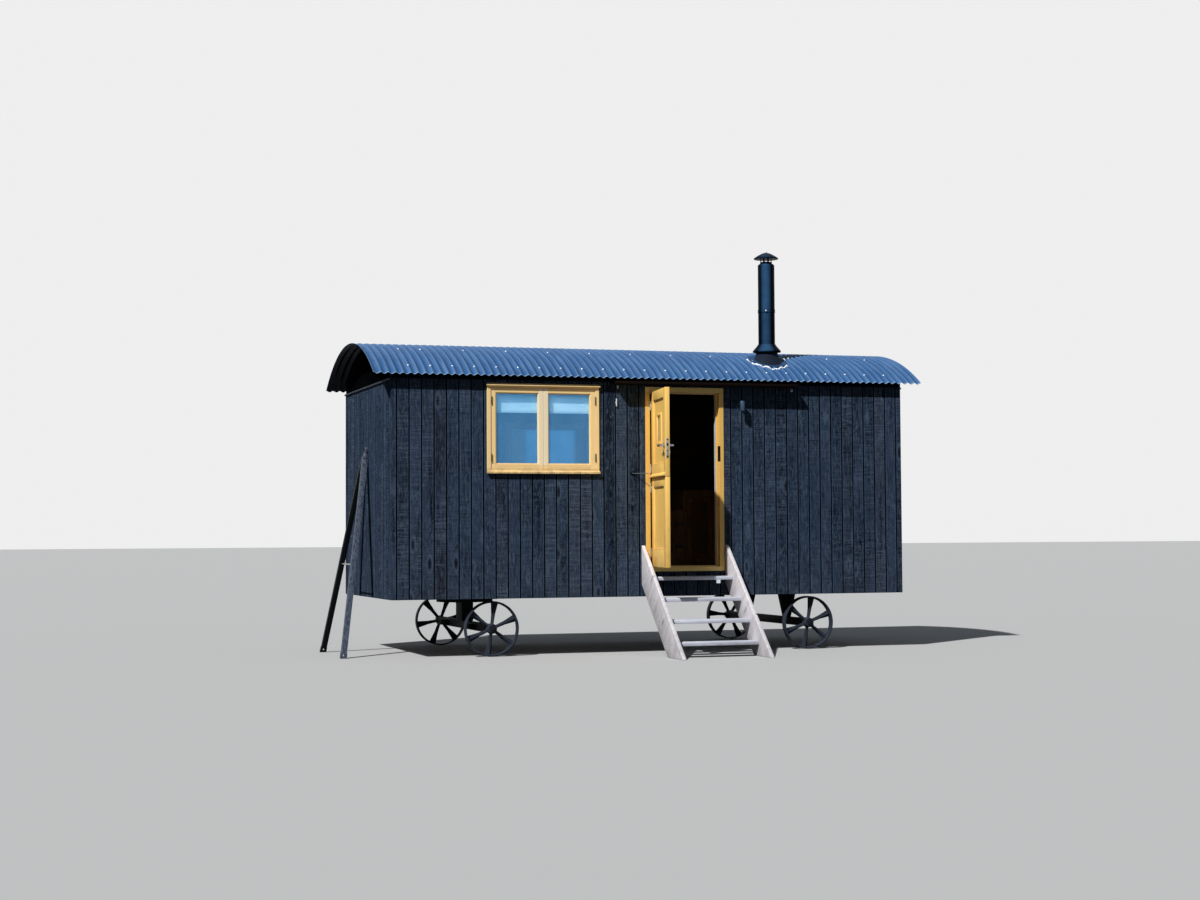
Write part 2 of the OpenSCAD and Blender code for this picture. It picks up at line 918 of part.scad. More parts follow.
// Pocket or flap of a hinge, from a point on the hinge line
module hinge_flap(z, x) {
    block([x, hinge_y + flap_in, z - hinge_h / 2], [x + flap_t, hinge_y + flap_d, z + hinge_h / 2]);
}

module door_frame() {
    back_y = -in_w;
    stop_y = leaf_back_y + swing_gap;
    color("#d9a63f")
        difference() {
            block([frame_x0, door_face_y, floor_z], [frame_x1, back_y, door_top_z]);
            block([door_x0, door_face_y - over, sill_z], [door_x1, stop_y, head_z]);
            block([door_x0 + stop_t, door_face_y, sill_z + stop_t],
                  [door_x1 - stop_t, back_y + over, head_z - stop_t]);
            for (z = concat(hinge_zs_upper, hinge_zs_lower))
                hinge_flap(z, hinge_x - flap_t);
        }
}

// Pins, outer knuckles and let-in flaps on the jamb
module door_hinges() {
    third = hinge_h / 3;
    color("#8f8f8a")
        for (z = concat(hinge_zs_upper, hinge_zs_lower)) {
            rod([hinge_x, hinge_y, z - hinge_h / 2], "z", pin_r, hinge_h);
            for (end = [-1, 1])
                rod([hinge_x, hinge_y, z + end * third - third / 2], "z", knuckle_r, third);
            difference() {
                hinge_flap(z, hinge_x - flap_t);
                rod([hinge_x, hinge_y, z - third / 2 - knuckle_gap], "z", knuckle_r + knuckle_gap,
                    third + 2 * knuckle_gap);
            }
        }
}

// Middle knuckle and flap of one hinge, on a leaf
module leaf_hinge(z) {
    third = hinge_h / 3 - knuckle_gap;
    difference() {
        union() {
            rod([hinge_x, hinge_y, z - third / 2], "z", knuckle_r, third);
            block([leaf_x0 - flap_t, hinge_y, z - third / 2],
                  [leaf_x0, leaf_back_y - flap_back, z + third / 2]);
        }
        rod([hinge_x, hinge_y, z - third], "z", pin_r + pin_gap, 2 * third);
    }
}

// Turns a closed leaf to where it stands open
module opened() {
    translate([hinge_x, hinge_y, 0])
        rotate([0, 0, -open_deg])
            translate([-hinge_x, -hinge_y, 0])
                children();
}

// A sunk panel within a moulding, cut into both faces of a leaf between two heights
module sunk_panel(z0, z1) {
    x0 = leaf_x0 + stile_w;
    x1 = leaf_x1 - stile_w;
    for (cut = [[0, mould_in], [mould_w, panel_in]]) {
        block([x0 + cut[0], leaf_face_y - over, z0 + cut[0]],
              [x1 - cut[0], leaf_face_y + cut[1], z1 - cut[0]]);
        block([x0 + cut[0], leaf_back_y - cut[1], z0 + cut[0]],
              [x1 - cut[0], leaf_back_y + over, z1 - cut[0]]);
    }
}

// A framed leaf: a slab with a sunk panel on each face
module leaf(z0, z1, rail_low, rail_high) {
    difference() {
        block([leaf_x0, leaf_face_y, z0], [leaf_x1, leaf_back_y, z1]);
        sunk_panel(z0 + rail_low, z1 - rail_high);
    }
}

module door_upper() {
    color("#e0ab40")
        opened() {
            difference() {
                union() {
                    leaf(upper_z0, upper_z1, upper_rail_low, upper_rail_high);
                    block([door_x - light_w / 2 - light_face, leaf_face_y + light_in,
                           light_z - light_h / 2 - light_face],
                          [door_x + light_w / 2 + light_face, leaf_back_y - light_in,
                           light_z + light_h / 2 + light_face]);
                }
                block([door_x - light_w / 2, leaf_face_y - over, light_z - light_h / 2],
                      [door_x + light_w / 2, leaf_back_y + over, light_z + light_h / 2]);
            }
            translate([leaf_x1 - weather_end, leaf_face_y, upper_z0 + weather_end])
                rotate([0, -90, 0])
                    linear_extrude(leaf_x1 - leaf_x0 - 2 * weather_end)
                        polygon([[0, 0], [0, -weather_out], [weather_lip, -weather_out],
                                 [weather_h, 0]]);
        }
}

module door_upper_glass() {
    middle = leaf_face_y + leaf_t / 2;
    color("#8fa3ad")
        opened()
            block([door_x - light_w / 2, middle - glass_t / 2, light_z - light_h / 2],
                  [door_x + light_w / 2, middle + glass_t / 2, light_z + light_h / 2]);
}

module door_upper_hinges() {
    color("#8f8f8a")
        opened()
            for (z = hinge_zs_upper)
                leaf_hinge(z);
}

// Lever handle and cylinder plate on both faces, and the lock's plate on the edge
module door_handle() {
    x = leaf_x1 - stile_w / 2;
    color("#c4c6c8")
        opened() {
            for (face = [[leaf_face_y, -1], [leaf_back_y, 1]]) {
                rose_y = face[0] + (face[1] < 0 ? -rose_t : 0);
                neck_y = face[0] + (face[1] < 0 ? -lever_out : 0);
                lever_y = face[0] + (face[1] < 0 ? -lever_out : lever_out - lever_t);
                rod([x, rose_y, handle_z], "y", rose_r, rose_t, 48);
                rod([x, neck_y, handle_z], "y", neck_r, lever_out);
                block([x - lever_l, lever_y, handle_z - lever_w / 2],
                      [x + neck_r, lever_y + lever_t, handle_z + lever_w / 2]);
                rod([x, rose_y, handle_z - cylinder_down], "y", rose_r, rose_t, 48);
            }
            block([leaf_x1, leaf_face_y + lock_plate_in, handle_z - lock_plate_down],
                  [leaf_x1 + lock_plate_t, leaf_back_y - lock_plate_in, handle_z + lock_plate_up]);
        }
}

// The panel is of upright boards, with a groove at each joint
module door_lower() {
    board_w = (leaf_x1 - leaf_x0 - 2 * stile_w) / lower_board_n;
    z0 = lower_z0 + lower_rail_low + mould_w;
    z1 = lower_z1 - lower_rail_high - mould_w;
    color("#e0ab40")
        opened()
            difference() {
                leaf(lower_z0, lower_z1, lower_rail_low, lower_rail_high);
                for (i = [1:lower_board_n - 1])
                    for (y = [leaf_face_y + panel_in, leaf_back_y - panel_in])
                        translate([leaf_x0 + stile_w + i * board_w, y, z0])
                            block([-groove_w / 2, -groove_d, 0], [groove_w / 2, groove_d, z1 - z0]);
            }
}

module door_lower_hinges() {
    color("#8f8f8a")
        opened()
            for (z = hinge_zs_lower)
                leaf_hinge(z);
}

// Wall plate and hooked rod that hold the open door back
module cabin_hook() {
    half = stay_plate_w / 2;
    pin_y = wall_face_y - stay_in - stay_pin_l;
    color("#3a3a3a") {
        block([stay_x - half, wall_face_y - stay_plate_t, stay_z - half],
              [stay_x + half, wall_face_y, stay_z + half]);
        rod([stay_x, pin_y, stay_z], "y", stay_pin_r, stay_pin_l);
        translate([stay_x, pin_y + stay_pin_r, stay_z])
            rotate([0, 0, -stay_deg])
                rod([0, 0, 0], "x", stay_r, stay_l);
    }
}

// Head drip and sill that stand out from a window's frame
module window_boards(x0, x1, z0, z1) {
    translate([x0 - drip_end, win_face_y, z1 - win_head_h + head_drip_up])
        rotate([90, 0, 90])
            linear_extrude(x1 - x0 + 2 * drip_end)
                polygon([[0, 0], [-head_drip[0], head_drip[1]], [-head_drip[0], head_drip[2]],
                         [0, head_drip[3]]]);
    translate([x0 - drip_end / 2, win_face_y, z0])
        rotate([90, 0, 90])
            linear_extrude(x1 - x0 + drip_end)
                polygon([[0, 0], [-sill_nose[0], 0], [-sill_nose[0], sill_nose[1]],
                         [0, sill_nose[2]]]);
}

module window_frame() {
    back_y = -in_w;
    color("#f0c878") {
        difference() {
            block([win_x0, win_face_y, win_z], [win_x1, back_y, win_z1]);
            block([win_x0 + win_face, win_face_y - over, win_z + win_sill_h],
                  [win_x1 - win_face, back_y + over, win_z1 - win_head_h]);
        }
        window_boards(win_x0, win_x1, win_z, win_z1);
    }
}

// Two casements side by side in the frame's opening
module window_casements() {
    color("#f4d089")
        for (x = [casement_x0, casement_x1 - casement_w])
            difference() {
                block([x, casement_y, casement_z0],
                      [x + casement_w, casement_y + casement_t, casement_z1]);
                block([x + casement_face, casement_y - over, casement_z0 + casement_face],
                      [x + casement_w - casement_face, casement_y + casement_t + over,
                       casement_z1 - casement_face]);
            }
}

// Hinges in the joints between the jambs and the casements
module window_hinges() {
    half = casement_hinge_l / 2;
    color("#6b5a34")
        for (x = [casement_x0 - casement_gap, casement_x1])
            for (z = [casement_z0 + casement_hinge_in, casement_z1 - casement_hinge_in]) {
                rod([x + casement_gap / 2, win_face_y - casement_hinge_r, z - half], "z",
                    casement_hinge_r, casement_hinge_l);
                block([x, win_face_y - casement_flap_out, z - half],
                      [x + casement_gap, casement_y + casement_t - casement_flap_back, z + half]);
            }
}

module window_glass() {
    y = casement_y + casement_t / 2;
    color("#7fa6c4")
        for (x = [casement_x0, casement_x1 - casement_w])
            block([x + casement_face, y - glass_t / 2, casement_z0 + casement_face],
                  [x + casement_w - casement_face, y + glass_t / 2, casement_z1 - casement_face]);
}

// Tube of the blind, and the bar in its hem
module blind_roller() {
    hem_z = roller_z - blind_drop;
    color("#d8d8d4") {
        rod([win_x0 + win_face, roller_y, roller_z], "x", roller_r, win_w - 2 * win_face);
        block([win_x0 + win_face + cloth_in, roller_y - roller_r - hem_front, hem_z - hem_h],
              [win_x1 - win_face - cloth_in, roller_y - roller_r + hem_back, hem_z]);
    }
}

module window_blind() {
    color("#e8e8e4")
        block([win_x0 + win_face + cloth_in, roller_y - roller_r - seat - cloth_t,
               roller_z - blind_drop + seat],
              [win_x1 - win_face - cloth_in, roller_y - roller_r - seat, roller_z]);
}

// Pane of the back window, an opening from a left edge between two depths
module back_light(x, y0, y1) {
    block([x, y0, back_win_z + back_light_in], [x + back_light_w, y1, back_z1 - back_light_in]);
}

// Two-light window in the back wall, with a head board and a sill
module back_window() {
    color("#f0c878") {
        difference() {
            block([back_x0, in_w, back_win_z], [back_x1, half_w + win_out, back_z1]);
            for (x = back_lights)
                back_light(x, in_w - over, half_w + win_out + over);
        }
        mirror([0, 1, 0])
            window_boards(back_x0, back_x1, back_win_z, back_z1);
    }
}

module back_window_glass() {
    color("#7fa6c4")
        for (x = back_lights)
            back_light(x, half_w - glass_t, half_w);
}

module wall_lamp() {
    body_y = wall_face_y - lamp_out;
    low_z = lamp_z - lamp_h / 2;
    high_z = lamp_z + lamp_h / 2;
    color("#9aa0a6") {
        rod([lamp_x, wall_face_y - lamp_base_t, lamp_z], "y", lamp_base_r, lamp_base_t, 48);
        rod([lamp_x, body_y, lamp_z], "y", lamp_arm_r, lamp_out);
        difference() {
            rod([lamp_x, body_y, low_z], "z", lamp_r, lamp_h, 48);
            rod([lamp_x, body_y, low_z - over], "z", lamp_r - lamp_wall, lamp_end + over, 48);
            rod([lamp_x, body_y, high_z - lamp_end], "z", lamp_r - lamp_wall, lamp_end + over, 48);
        }
    }
}

// Board over the door, with a drip groove along its underside
module door_hood() {
    color("#4a3a30")
        difference() {
            block([hood_x0, wall_face_y - hood_out, hood_top_z - hood_t],
                  [hood_x1, wall_face_y, hood_top_z]);
            translate([hood_x0 - over, wall_face_y - hood_out + hood_groove[0],
                       hood_top_z - hood_t - over])
                cube([hood_x1 - hood_x0 + 2 * over, hood_groove[1], hood_groove[2] + over]);
        }
}

// Side boards of the steps, cut upright at the wall and level at the ground
module step_stringers() {
    foot = wall_face_y - string_out;
    back_top = string_top_z - string_slope * string_w;
    color("#c9c6bd")
        for (x = [string_x0 - string_t, string_x1])
            translate([x, 0, 0])
                rotate([90, 0, 90])
                    linear_extrude(string_t)
                        polygon([[foot, 0], [wall_face_y, string_top_z], [wall_face_y, back_top],
                                 [foot + string_w, 0]]);
}

module step_treads() {
    color("#c9c6bd")
        for (i = [0:step_n - 1]) {
            z = step_top_z - i * step_rise;
            front = wall_face_y - (string_top_z - z) / string_slope + tread_back;
            block([string_x0, front, z - tread_t], [string_x1, min(front + tread_d, wall_face_y), z]);
        }
}

// Leans the drawbar's plane from the line of its feet to the gable
module leaned() {
    translate([bar_foot_x, 0, 0])
        rotate([0, bar_lean, 0])
            children();
}

// Slope of a leg in the drawbar's plane, and the place of its middle at a height
function leg_slope(foot_y, head_y) = (head_y - foot_y) / leg_l;
function leg_y(foot_y, head_y, up) = foot_y + up * leg_slope(foot_y, head_y);
function leg_half(foot_y, head_y) = bar_w / 2 * sqrt(1 + pow(leg_slope(foot_y, head_y), 2));

// Stretch of a leg in the drawbar's plane, wider by an allowance all round
module leg_stretch(foot_y, head_y, low, high, more) {
    half = leg_half(foot_y, head_y) + more;
    rotate([90, 0, 90])
        translate([0, 0, -bar_w / 2 - more])
            linear_extrude(bar_w + 2 * more)
                polygon([[leg_y(foot_y, head_y, low) - half, low],
                         [leg_y(foot_y, head_y, low) + half, low],
                         [leg_y(foot_y, head_y, high) + half, high],
                         [leg_y(foot_y, head_y, high) - half, high]]);
}

// Box-section leg with a shoe, cut level at the ground, and the hole for its pin
module drawbar_leg(foot_y, head_y) {
    pin_l = bar_w + 4 * shoe_out;
    color("#25282d")
        difference() {
            intersection() {
                leaned() {
                    leg_stretch(foot_y, head_y, -bar_w, leg_l, 0);
                    leg_stretch(foot_y, head_y, -bar_w, shoe_h, shoe_out);
                }
                block([-body_l, -body_w, 0], [-half_l, body_w, crest_z]);
            }
            leaned()
                rod([0, leg_y(foot_y, head_y, pin_up) - pin_l, pin_up], "y", pin_hole_r, 2 * pin_l);
        }
}

module drawbar_legs() {
    drawbar_leg(bar_near_y, -head_spread);
    drawbar_leg(bar_far_y, head_spread);
}

// Plate across the ends of the legs, with the towing eye on a neck
module drawbar_head() {
    half_y = head_spread + leg_half(bar_near_y, -head_spread) + head_plate_end;
    eye_z = leg_l + head_plate_h + eye_neck;
    color("#25282d")
        leaned() {
            block([-bar_w / 2, -half_y, leg_l], [bar_w / 2, half_y, leg_l + head_plate_h]);
            difference() {
                union() {
                    rod([-eye_t / 2, 0, eye_z], "x", eye_r, eye_t, 64);
                    rotate([90, 0, 90])
                        translate([0, 0, -eye_t / 2])
                            linear_extrude(eye_t)
                                polygon([[-eye_r - neck_foot, leg_l + head_plate_h],
                                         [eye_r + neck_foot, leg_l + head_plate_h],
                                         [eye_r - neck_top, eye_z - neck_down],
                                         [-eye_r + neck_top, eye_z - neck_down]]);
                }
                rod([-eye_t / 2 - over, 0, eye_z], "x", eye_bore_r, eye_t + 2 * over, 64);
            }
        }
}

// Thin rod between the legs
module drawbar_tie() {
    near = leg_y(bar_near_y, -head_spread, tie_up) + leg_half(bar_near_y, -head_spread);
    far = leg_y(bar_far_y, head_spread, tie_up) - leg_half(bar_far_y, head_spread);
    near_in = tie_r * leg_slope(bar_near_y, -head_spread) + seat;
    far_in = tie_r * leg_slope(head_spread, bar_far_y) + seat;
    color("#6d7073")
        leaned()
            rod([0, near + near_in, tie_up], "y", tie_r, far - near - near_in - far_in);
}

// Low and tall cupboard against the back wall, with framed doors
module cupboard() {
    front = in_w - cup_d;
    color("#8a6a42")
        for (part = [[cup_x, cup_low_w, cup_low_h], [cup_tall_x, cup_tall_w, cup_tall_h]])
            difference() {
                block([part[0], front, floor_z], [part[0] + part[1], in_w, floor_z + part[2]]);
                block([part[0] + cup_stile, front - over, floor_z + cup_plinth],
                      [part[0] + part[1] - cup_stile, front + cup_sunk,
                       floor_z + part[2] - cup_rail]);
            }
}

placed() front_wall_left();
placed() front_wall_right();
placed() front_wall_at_door();
placed() back_wall();
placed() left_end_wall();
placed() right_end_wall();
placed() gable_arches();
placed() gable_drip_rails();
placed() floor();
placed() chassis_rails();
placed() chassis_crossmembers();
placed() fore_axle();
placed() turntable();
placed() rear_axle();
placed() wheel_fore_near();
placed() wheel_fore_far();
placed() wheel_rear_near();
placed() wheel_rear_far();
placed() roof_sheet(1);  // roof_sheet_1
placed() roof_sheet(2);  // roof_sheet_2
placed() roof_sheet(3);  // roof_sheet_3
placed() roof_sheet(4);  // roof_sheet_4
placed() roof_sheet(5);  // roof_sheet_5
placed() roof_sheet(6);  // roof_sheet_6
placed() roof_deck();
placed() eaves_boards();
placed() flue_pipe();
placed() flue_cowl();
placed() flue_collar();
placed() flue_boot();
placed() door_frame();
placed() door_hinges();
placed() door_upper();
placed() door_upper_glass();
placed() door_upper_hinges();
placed() door_handle();
placed() door_lower();
placed() door_lower_hinges();
placed() cabin_hook();
placed() window_frame();
placed() window_casements();
placed() window_hinges();
placed() window_glass();
placed() blind_roller();
placed() window_blind();
placed() back_window();
placed() back_window_glass();
placed() wall_lamp();
placed() door_hood();
placed() step_stringers();
placed() step_treads();
placed() drawbar_legs();
placed() drawbar_head();
placed() drawbar_tie();
placed() cupboard();
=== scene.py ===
import math
import random
import bpy
from mathutils import Matrix, Vector


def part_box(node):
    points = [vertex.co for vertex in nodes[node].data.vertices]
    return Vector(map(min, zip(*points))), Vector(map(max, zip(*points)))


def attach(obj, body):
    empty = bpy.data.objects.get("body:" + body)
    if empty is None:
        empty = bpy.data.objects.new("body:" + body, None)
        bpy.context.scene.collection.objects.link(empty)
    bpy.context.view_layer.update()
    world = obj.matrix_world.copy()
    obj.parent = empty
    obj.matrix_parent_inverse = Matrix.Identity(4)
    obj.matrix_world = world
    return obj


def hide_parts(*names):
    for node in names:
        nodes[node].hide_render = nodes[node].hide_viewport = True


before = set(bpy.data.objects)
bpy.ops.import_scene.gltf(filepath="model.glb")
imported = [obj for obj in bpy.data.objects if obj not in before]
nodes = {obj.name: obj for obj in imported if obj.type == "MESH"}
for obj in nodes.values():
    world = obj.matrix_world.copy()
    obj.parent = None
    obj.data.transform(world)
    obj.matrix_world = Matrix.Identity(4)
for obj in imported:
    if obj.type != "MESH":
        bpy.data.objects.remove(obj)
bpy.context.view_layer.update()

# The middle of the cabin, which all places below are measured from
backLow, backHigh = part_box("back_wall")
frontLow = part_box("front_wall_right")[0]
hutX = (backLow.x + backHigh.x) / 2
hutY = (frontLow.y + backHigh.y) / 2
halfL = (backHigh.x - backLow.x) / 2
halfW = (backHigh.y - frontLow.y) / 2
endPitch = 2 * halfW / 19     # 19 boards cover each end wall


def at(x, y, z):
    return Vector((hutX + x, hutY + y, z))


def pick(values, names):
    return [values[name] for name in names.split()]


# Modelling helpers

def clearSelection():
    bpy.ops.object.select_all(action="DESELECT")


def useOnly(obj):
    clearSelection()
    obj.select_set(True)
    bpy.context.view_layer.objects.active = obj


def applyPlace(obj):
    useOnly(obj)
    bpy.ops.object.transform_apply(location=True, rotation=True, scale=True)
    return obj


def addModifier(obj, kind, **settings):
    useOnly(obj)
    modifier = obj.modifiers.new(kind.title(), kind)
    for name, value in settings.items():
        setattr(modifier, name, value)
    bpy.ops.object.modifier_apply(modifier=modifier.name)


def bevelEdges(obj, width, segments=1, angle=30):
    addModifier(obj, "BEVEL", width=width, segments=segments, limit_method="ANGLE",
                angle_limit=math.radians(angle), use_clamp_overlap=True)
    return obj


def smoothBy(obj, angle=30):
    useOnly(obj)
    bpy.ops.object.shade_smooth_by_angle(angle=math.radians(angle))
    return obj


def boxBetween(low, high):
    # Corners are given from the middle of the cabin, in any order
    pairs = list(zip(at(*low), at(*high)))
    low, high = Vector(map(min, pairs)), Vector(map(max, pairs))
    clearSelection()
    bpy.ops.mesh.primitive_cube_add(size=1, location=(low + high) / 2, scale=high - low)
    return applyPlace(bpy.context.object)


def addRod(start, end, radius, sides=24, bevel=0, segments=1):
    clearSelection()
    start, end = Vector(start), Vector(end)
    along = end - start
    bpy.ops.mesh.primitive_cylinder_add(radius=radius, depth=along.length, vertices=sides,
                                        location=(start + end) / 2,
                                        rotation=along.to_track_quat("Z", "Y").to_euler())
    rod = applyPlace(bpy.context.object)
    return bevelEdges(rod, bevel, segments) if bevel else rod


def joinAll(parts):
    clearSelection()
    for part in parts:
        part.select_set(True)
    bpy.context.view_layer.objects.active = parts[0]
    if len(parts) > 1:
        bpy.ops.object.join()
    return applyPlace(parts[0])


def boxSet(boxes, bevel=0.002, segments=2):
    return joinAll([bevelEdges(boxBetween(*box), bevel, segments) for box in boxes])


def mouldRound(x0, x1, z0, z1, near, far, size, top=None):
    # Four strips inside a rectangle: left, right, bottom and top
    return [((x0, near, z0), (x0 + size, far, z1)), ((x1 - size, near, z0), (x1, far, z1)),
            ((x0 + size, near, z0), (x1 - size, far, z0 + size)),
            ((x0 + size, near, z1 - (top or size)), (x1 - size, far, z1))]


def addMoulding(x0, x1, y, z, outline):
    # The outline says how far each corner stands out from the face at y, and its height over z
    clearSelection()
    bpy.ops.mesh.primitive_circle_add(vertices=len(outline), fill_type="NGON")
    solid = bpy.context.object
    for vertex, (out, up) in zip(solid.data.vertices, outline):
        vertex.co = at(x0, y - out, z + up)
    useOnly(solid)
    bpy.ops.object.mode_set(mode="EDIT")
    bpy.ops.mesh.select_all(action="SELECT")
    bpy.ops.mesh.extrude_region_move(TRANSFORM_OT_translate={"value": (x1 - x0, 0, 0)})
    bpy.ops.mesh.select_all(action="SELECT")
    bpy.ops.mesh.normals_make_consistent(inside=False)
    bpy.ops.object.mode_set(mode="OBJECT")
    return bevelEdges(solid, 0.002, 2)


def addBead(points, radius, sizes=None, closed=True):
    curve = bpy.data.curves.new("Bead", "CURVE")
    curve.dimensions = "3D"
    curve.bevel_depth = radius
    curve.bevel_resolution = 2
    curve.use_fill_caps = True
    spline = curve.splines.new("POLY")
    spline.points.add(len(points) - 1)
    for i, place in enumerate(points):
        spline.points[i].co = (*place, 1)
        spline.points[i].radius = sizes[i] if sizes else 1.0
    spline.use_cyclic_u = closed
    useOnly(linkNew("Bead", curve))
    bpy.ops.object.convert(target="MESH")
    return smoothBy(bpy.context.object, 60)


def ringBead(centre, reach, radius, step, across=(0, 1, 0)):
    # A closed ring about the centre, in the plane of X and the direction across
    turns = [math.radians(degrees) for degrees in range(0, 360, step)]
    return addBead([centre + Vector((math.cos(t), 0, 0)) * reach
                    + Vector(across) * math.sin(t) * reach for t in turns], radius)


def cutAway(obj, cutters, operation="DIFFERENCE"):
    tool = joinAll(cutters)
    addModifier(obj, "BOOLEAN", object=tool, operation=operation, solver="EXACT")
    bpy.data.objects.remove(tool)
    return obj


def linkNew(name, data):
    made = bpy.data.objects.new(name, data)
    bpy.context.scene.collection.objects.link(made)
    return made


def ownCopy(obj):
    twin = obj.copy()
    twin.data = obj.data.copy()
    bpy.context.scene.collection.objects.link(twin)
    return twin


def copyTo(obj, offset, turn=Matrix.Identity(4)):
    # A copy that is turned about the origin and then moved by the offset
    twin = ownCopy(obj)
    twin.matrix_world = Matrix.Translation(offset) @ turn
    return applyPlace(twin)


def dress(obj, material):
    obj.data.materials.clear()
    obj.data.materials.append(material)


def finishPiece(obj, name, finish, body="cabin"):
    obj.name = obj.data.name = name
    dress(obj, finishes[finish])
    applyPlace(obj)
    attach(obj, body)
    return obj


def standFor(obj, node):
    # The CAD node is hidden, and is dressed as the piece is
    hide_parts(node)
    dress(nodes[node], obj.data.materials[0])


def softCopy(node, name, finish, bevel=0.002, angle=30, segments=2, body="cabin"):
    # Stands for a CAD node: its merged copy, with eased edges and smooth shading
    copy = ownCopy(nodes[node])
    for key in list(copy.keys()):
        if key.startswith("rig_"):
            del copy[key]
    copy.parent = None
    copy.matrix_world = Matrix.Identity(4)
    useOnly(copy)
    bpy.ops.object.mode_set(mode="EDIT")
    bpy.ops.mesh.select_all(action="SELECT")
    bpy.ops.mesh.remove_doubles(threshold=0.00001)
    bpy.ops.mesh.dissolve_limited(angle_limit=math.radians(0.5))
    bpy.ops.object.mode_set(mode="OBJECT")
    if copy.data.has_custom_normals:
        bpy.ops.mesh.customdata_custom_splitnormals_clear()
    if bevel:
        bevelEdges(copy, bevel, segments, angle)
    smoothBy(copy, angle)
    finishPiece(copy, name, finish, body=body)
    standFor(copy, node)


# Node helpers, which add to the tree that was started last

def startTree(made):
    global tree
    tree = made
    tree.nodes.clear()


def addNode(kind, settings=None, inputs=None):
    made = tree.nodes.new("ShaderNode" + kind)
    for name, value in (settings or {}).items():
        setattr(made, name, value)
    for name, value in (inputs or {}).items():
        if isinstance(value, bpy.types.NodeSocket):
            tree.links.new(value, made.inputs[name])
        else:
            made.inputs[name].default_value = value
    return made


def calc(operation, a, b=0.0):
    return addNode("Math", {"operation": operation}, {0: a, 1: b}).outputs[0]


def times(a, b):
    return calc("MULTIPLY", a, b)


def calcVector(operation, a, b=(0, 0, 0)):
    made = addNode("VectorMath", {"operation": operation}, {0: a, 1: b})
    return made.outputs["Value" if operation in ("LENGTH", "DOT_PRODUCT") else "Vector"]


def stretched(vector, amounts):
    return calcVector("MULTIPLY", vector, amounts)


def split(vector):
    return addNode("SeparateXYZ", None, {0: vector}).outputs


def splitColour(colour):
    return addNode("SeparateColor", None, {0: colour}).outputs


def mapRange(value, low, high, newLow=0.0, newHigh=1.0):
    return addNode("MapRange", {"clamp": True},
                   {0: value, 1: low, 2: high, 3: newLow, 4: newHigh}).outputs[0]


def noise(vector, scale, detail=3.0, roughness=0.55, distortion=0.0):
    return addNode("TexNoise", None, {"Vector": vector, "Scale": scale, "Detail": detail,
                                      "Roughness": roughness, "Distortion": distortion}).outputs[0]


def cells(vector, scale):
    # How far a point is from the spot in its cell, and a random number for the cell
    made = addNode("TexVoronoi", None, {"Vector": vector, "Scale": scale}).outputs
    return made["Distance"], splitColour(made["Color"])[0]


def turned(vector, turn):
    return addNode("Mapping", None, {"Vector": vector, "Rotation": turn}).outputs[0]


def mixColour(factor, a, b):
    # A colour is the output of a node, or red, green and blue
    a, b = [colour if isinstance(colour, bpy.types.NodeSocket) else (*colour, 1)
            for colour in (a, b)]
    return addNode("Mix", {"data_type": "RGBA"}, {0: factor, 6: a, 7: b}).outputs[2]


def layered(tone, paint, layers):
    # Lays the paint's colours over the tone in turn, each where its mask says
    for mask, colour in layers:
        tone = mixColour(mask, tone, paint[colour])
    return tone


def scaled(colour, share):
    return [value * share for value in colour]


def newGroup(name, **inputs):
    # Each input has its usual value, and None stands for a vector
    startTree(bpy.data.node_groups.new(name, "ShaderNodeTree"))
    for label, value in inputs.items():
        kind = "NodeSocketVector" if value is None else "NodeSocketFloat"
        socket = tree.interface.new_socket(label, in_out="INPUT", socket_type=kind)
        if value is not None:
            socket.default_value = value
    return tree.nodes.new("NodeGroupInput").outputs


def endGroup(**outputs):
    for label, socket in outputs.items():
        kind = "NodeSocketVector" if socket.type == "VECTOR" else "NodeSocketFloat"
        tree.interface.new_socket(label, in_out="OUTPUT", socket_type=kind)
    end = tree.nodes.new("NodeGroupOutput")
    for label, socket in outputs.items():
        tree.links.new(socket, end.inputs[label])
    return tree


def useGroup(group, **inputs):
    return addNode("Group", {"node_tree": group}, inputs).outputs


# Effects that several finishes share

def makePlankGroup():
    # Gives each board of a run its own random numbers, from its place across the run
    given = newGroup("plankTone", Across=0.0, Start=0.0, Pitch=0.12)
    place = calc("DIVIDE", calc("SUBTRACT", given["Across"], given["Start"]), given["Pitch"])
    dice = addNode("TexWhiteNoise", {"noise_dimensions": "1D"},
                   {"W": calc("FLOOR", place)}).outputs
    return endGroup(Tone=dice["Value"], Second=splitColour(dice["Color"])[1],
                    Seam=calc("PINGPONG", place, 0.5), Shift=stretched(dice["Color"], (9, 9, 9)))


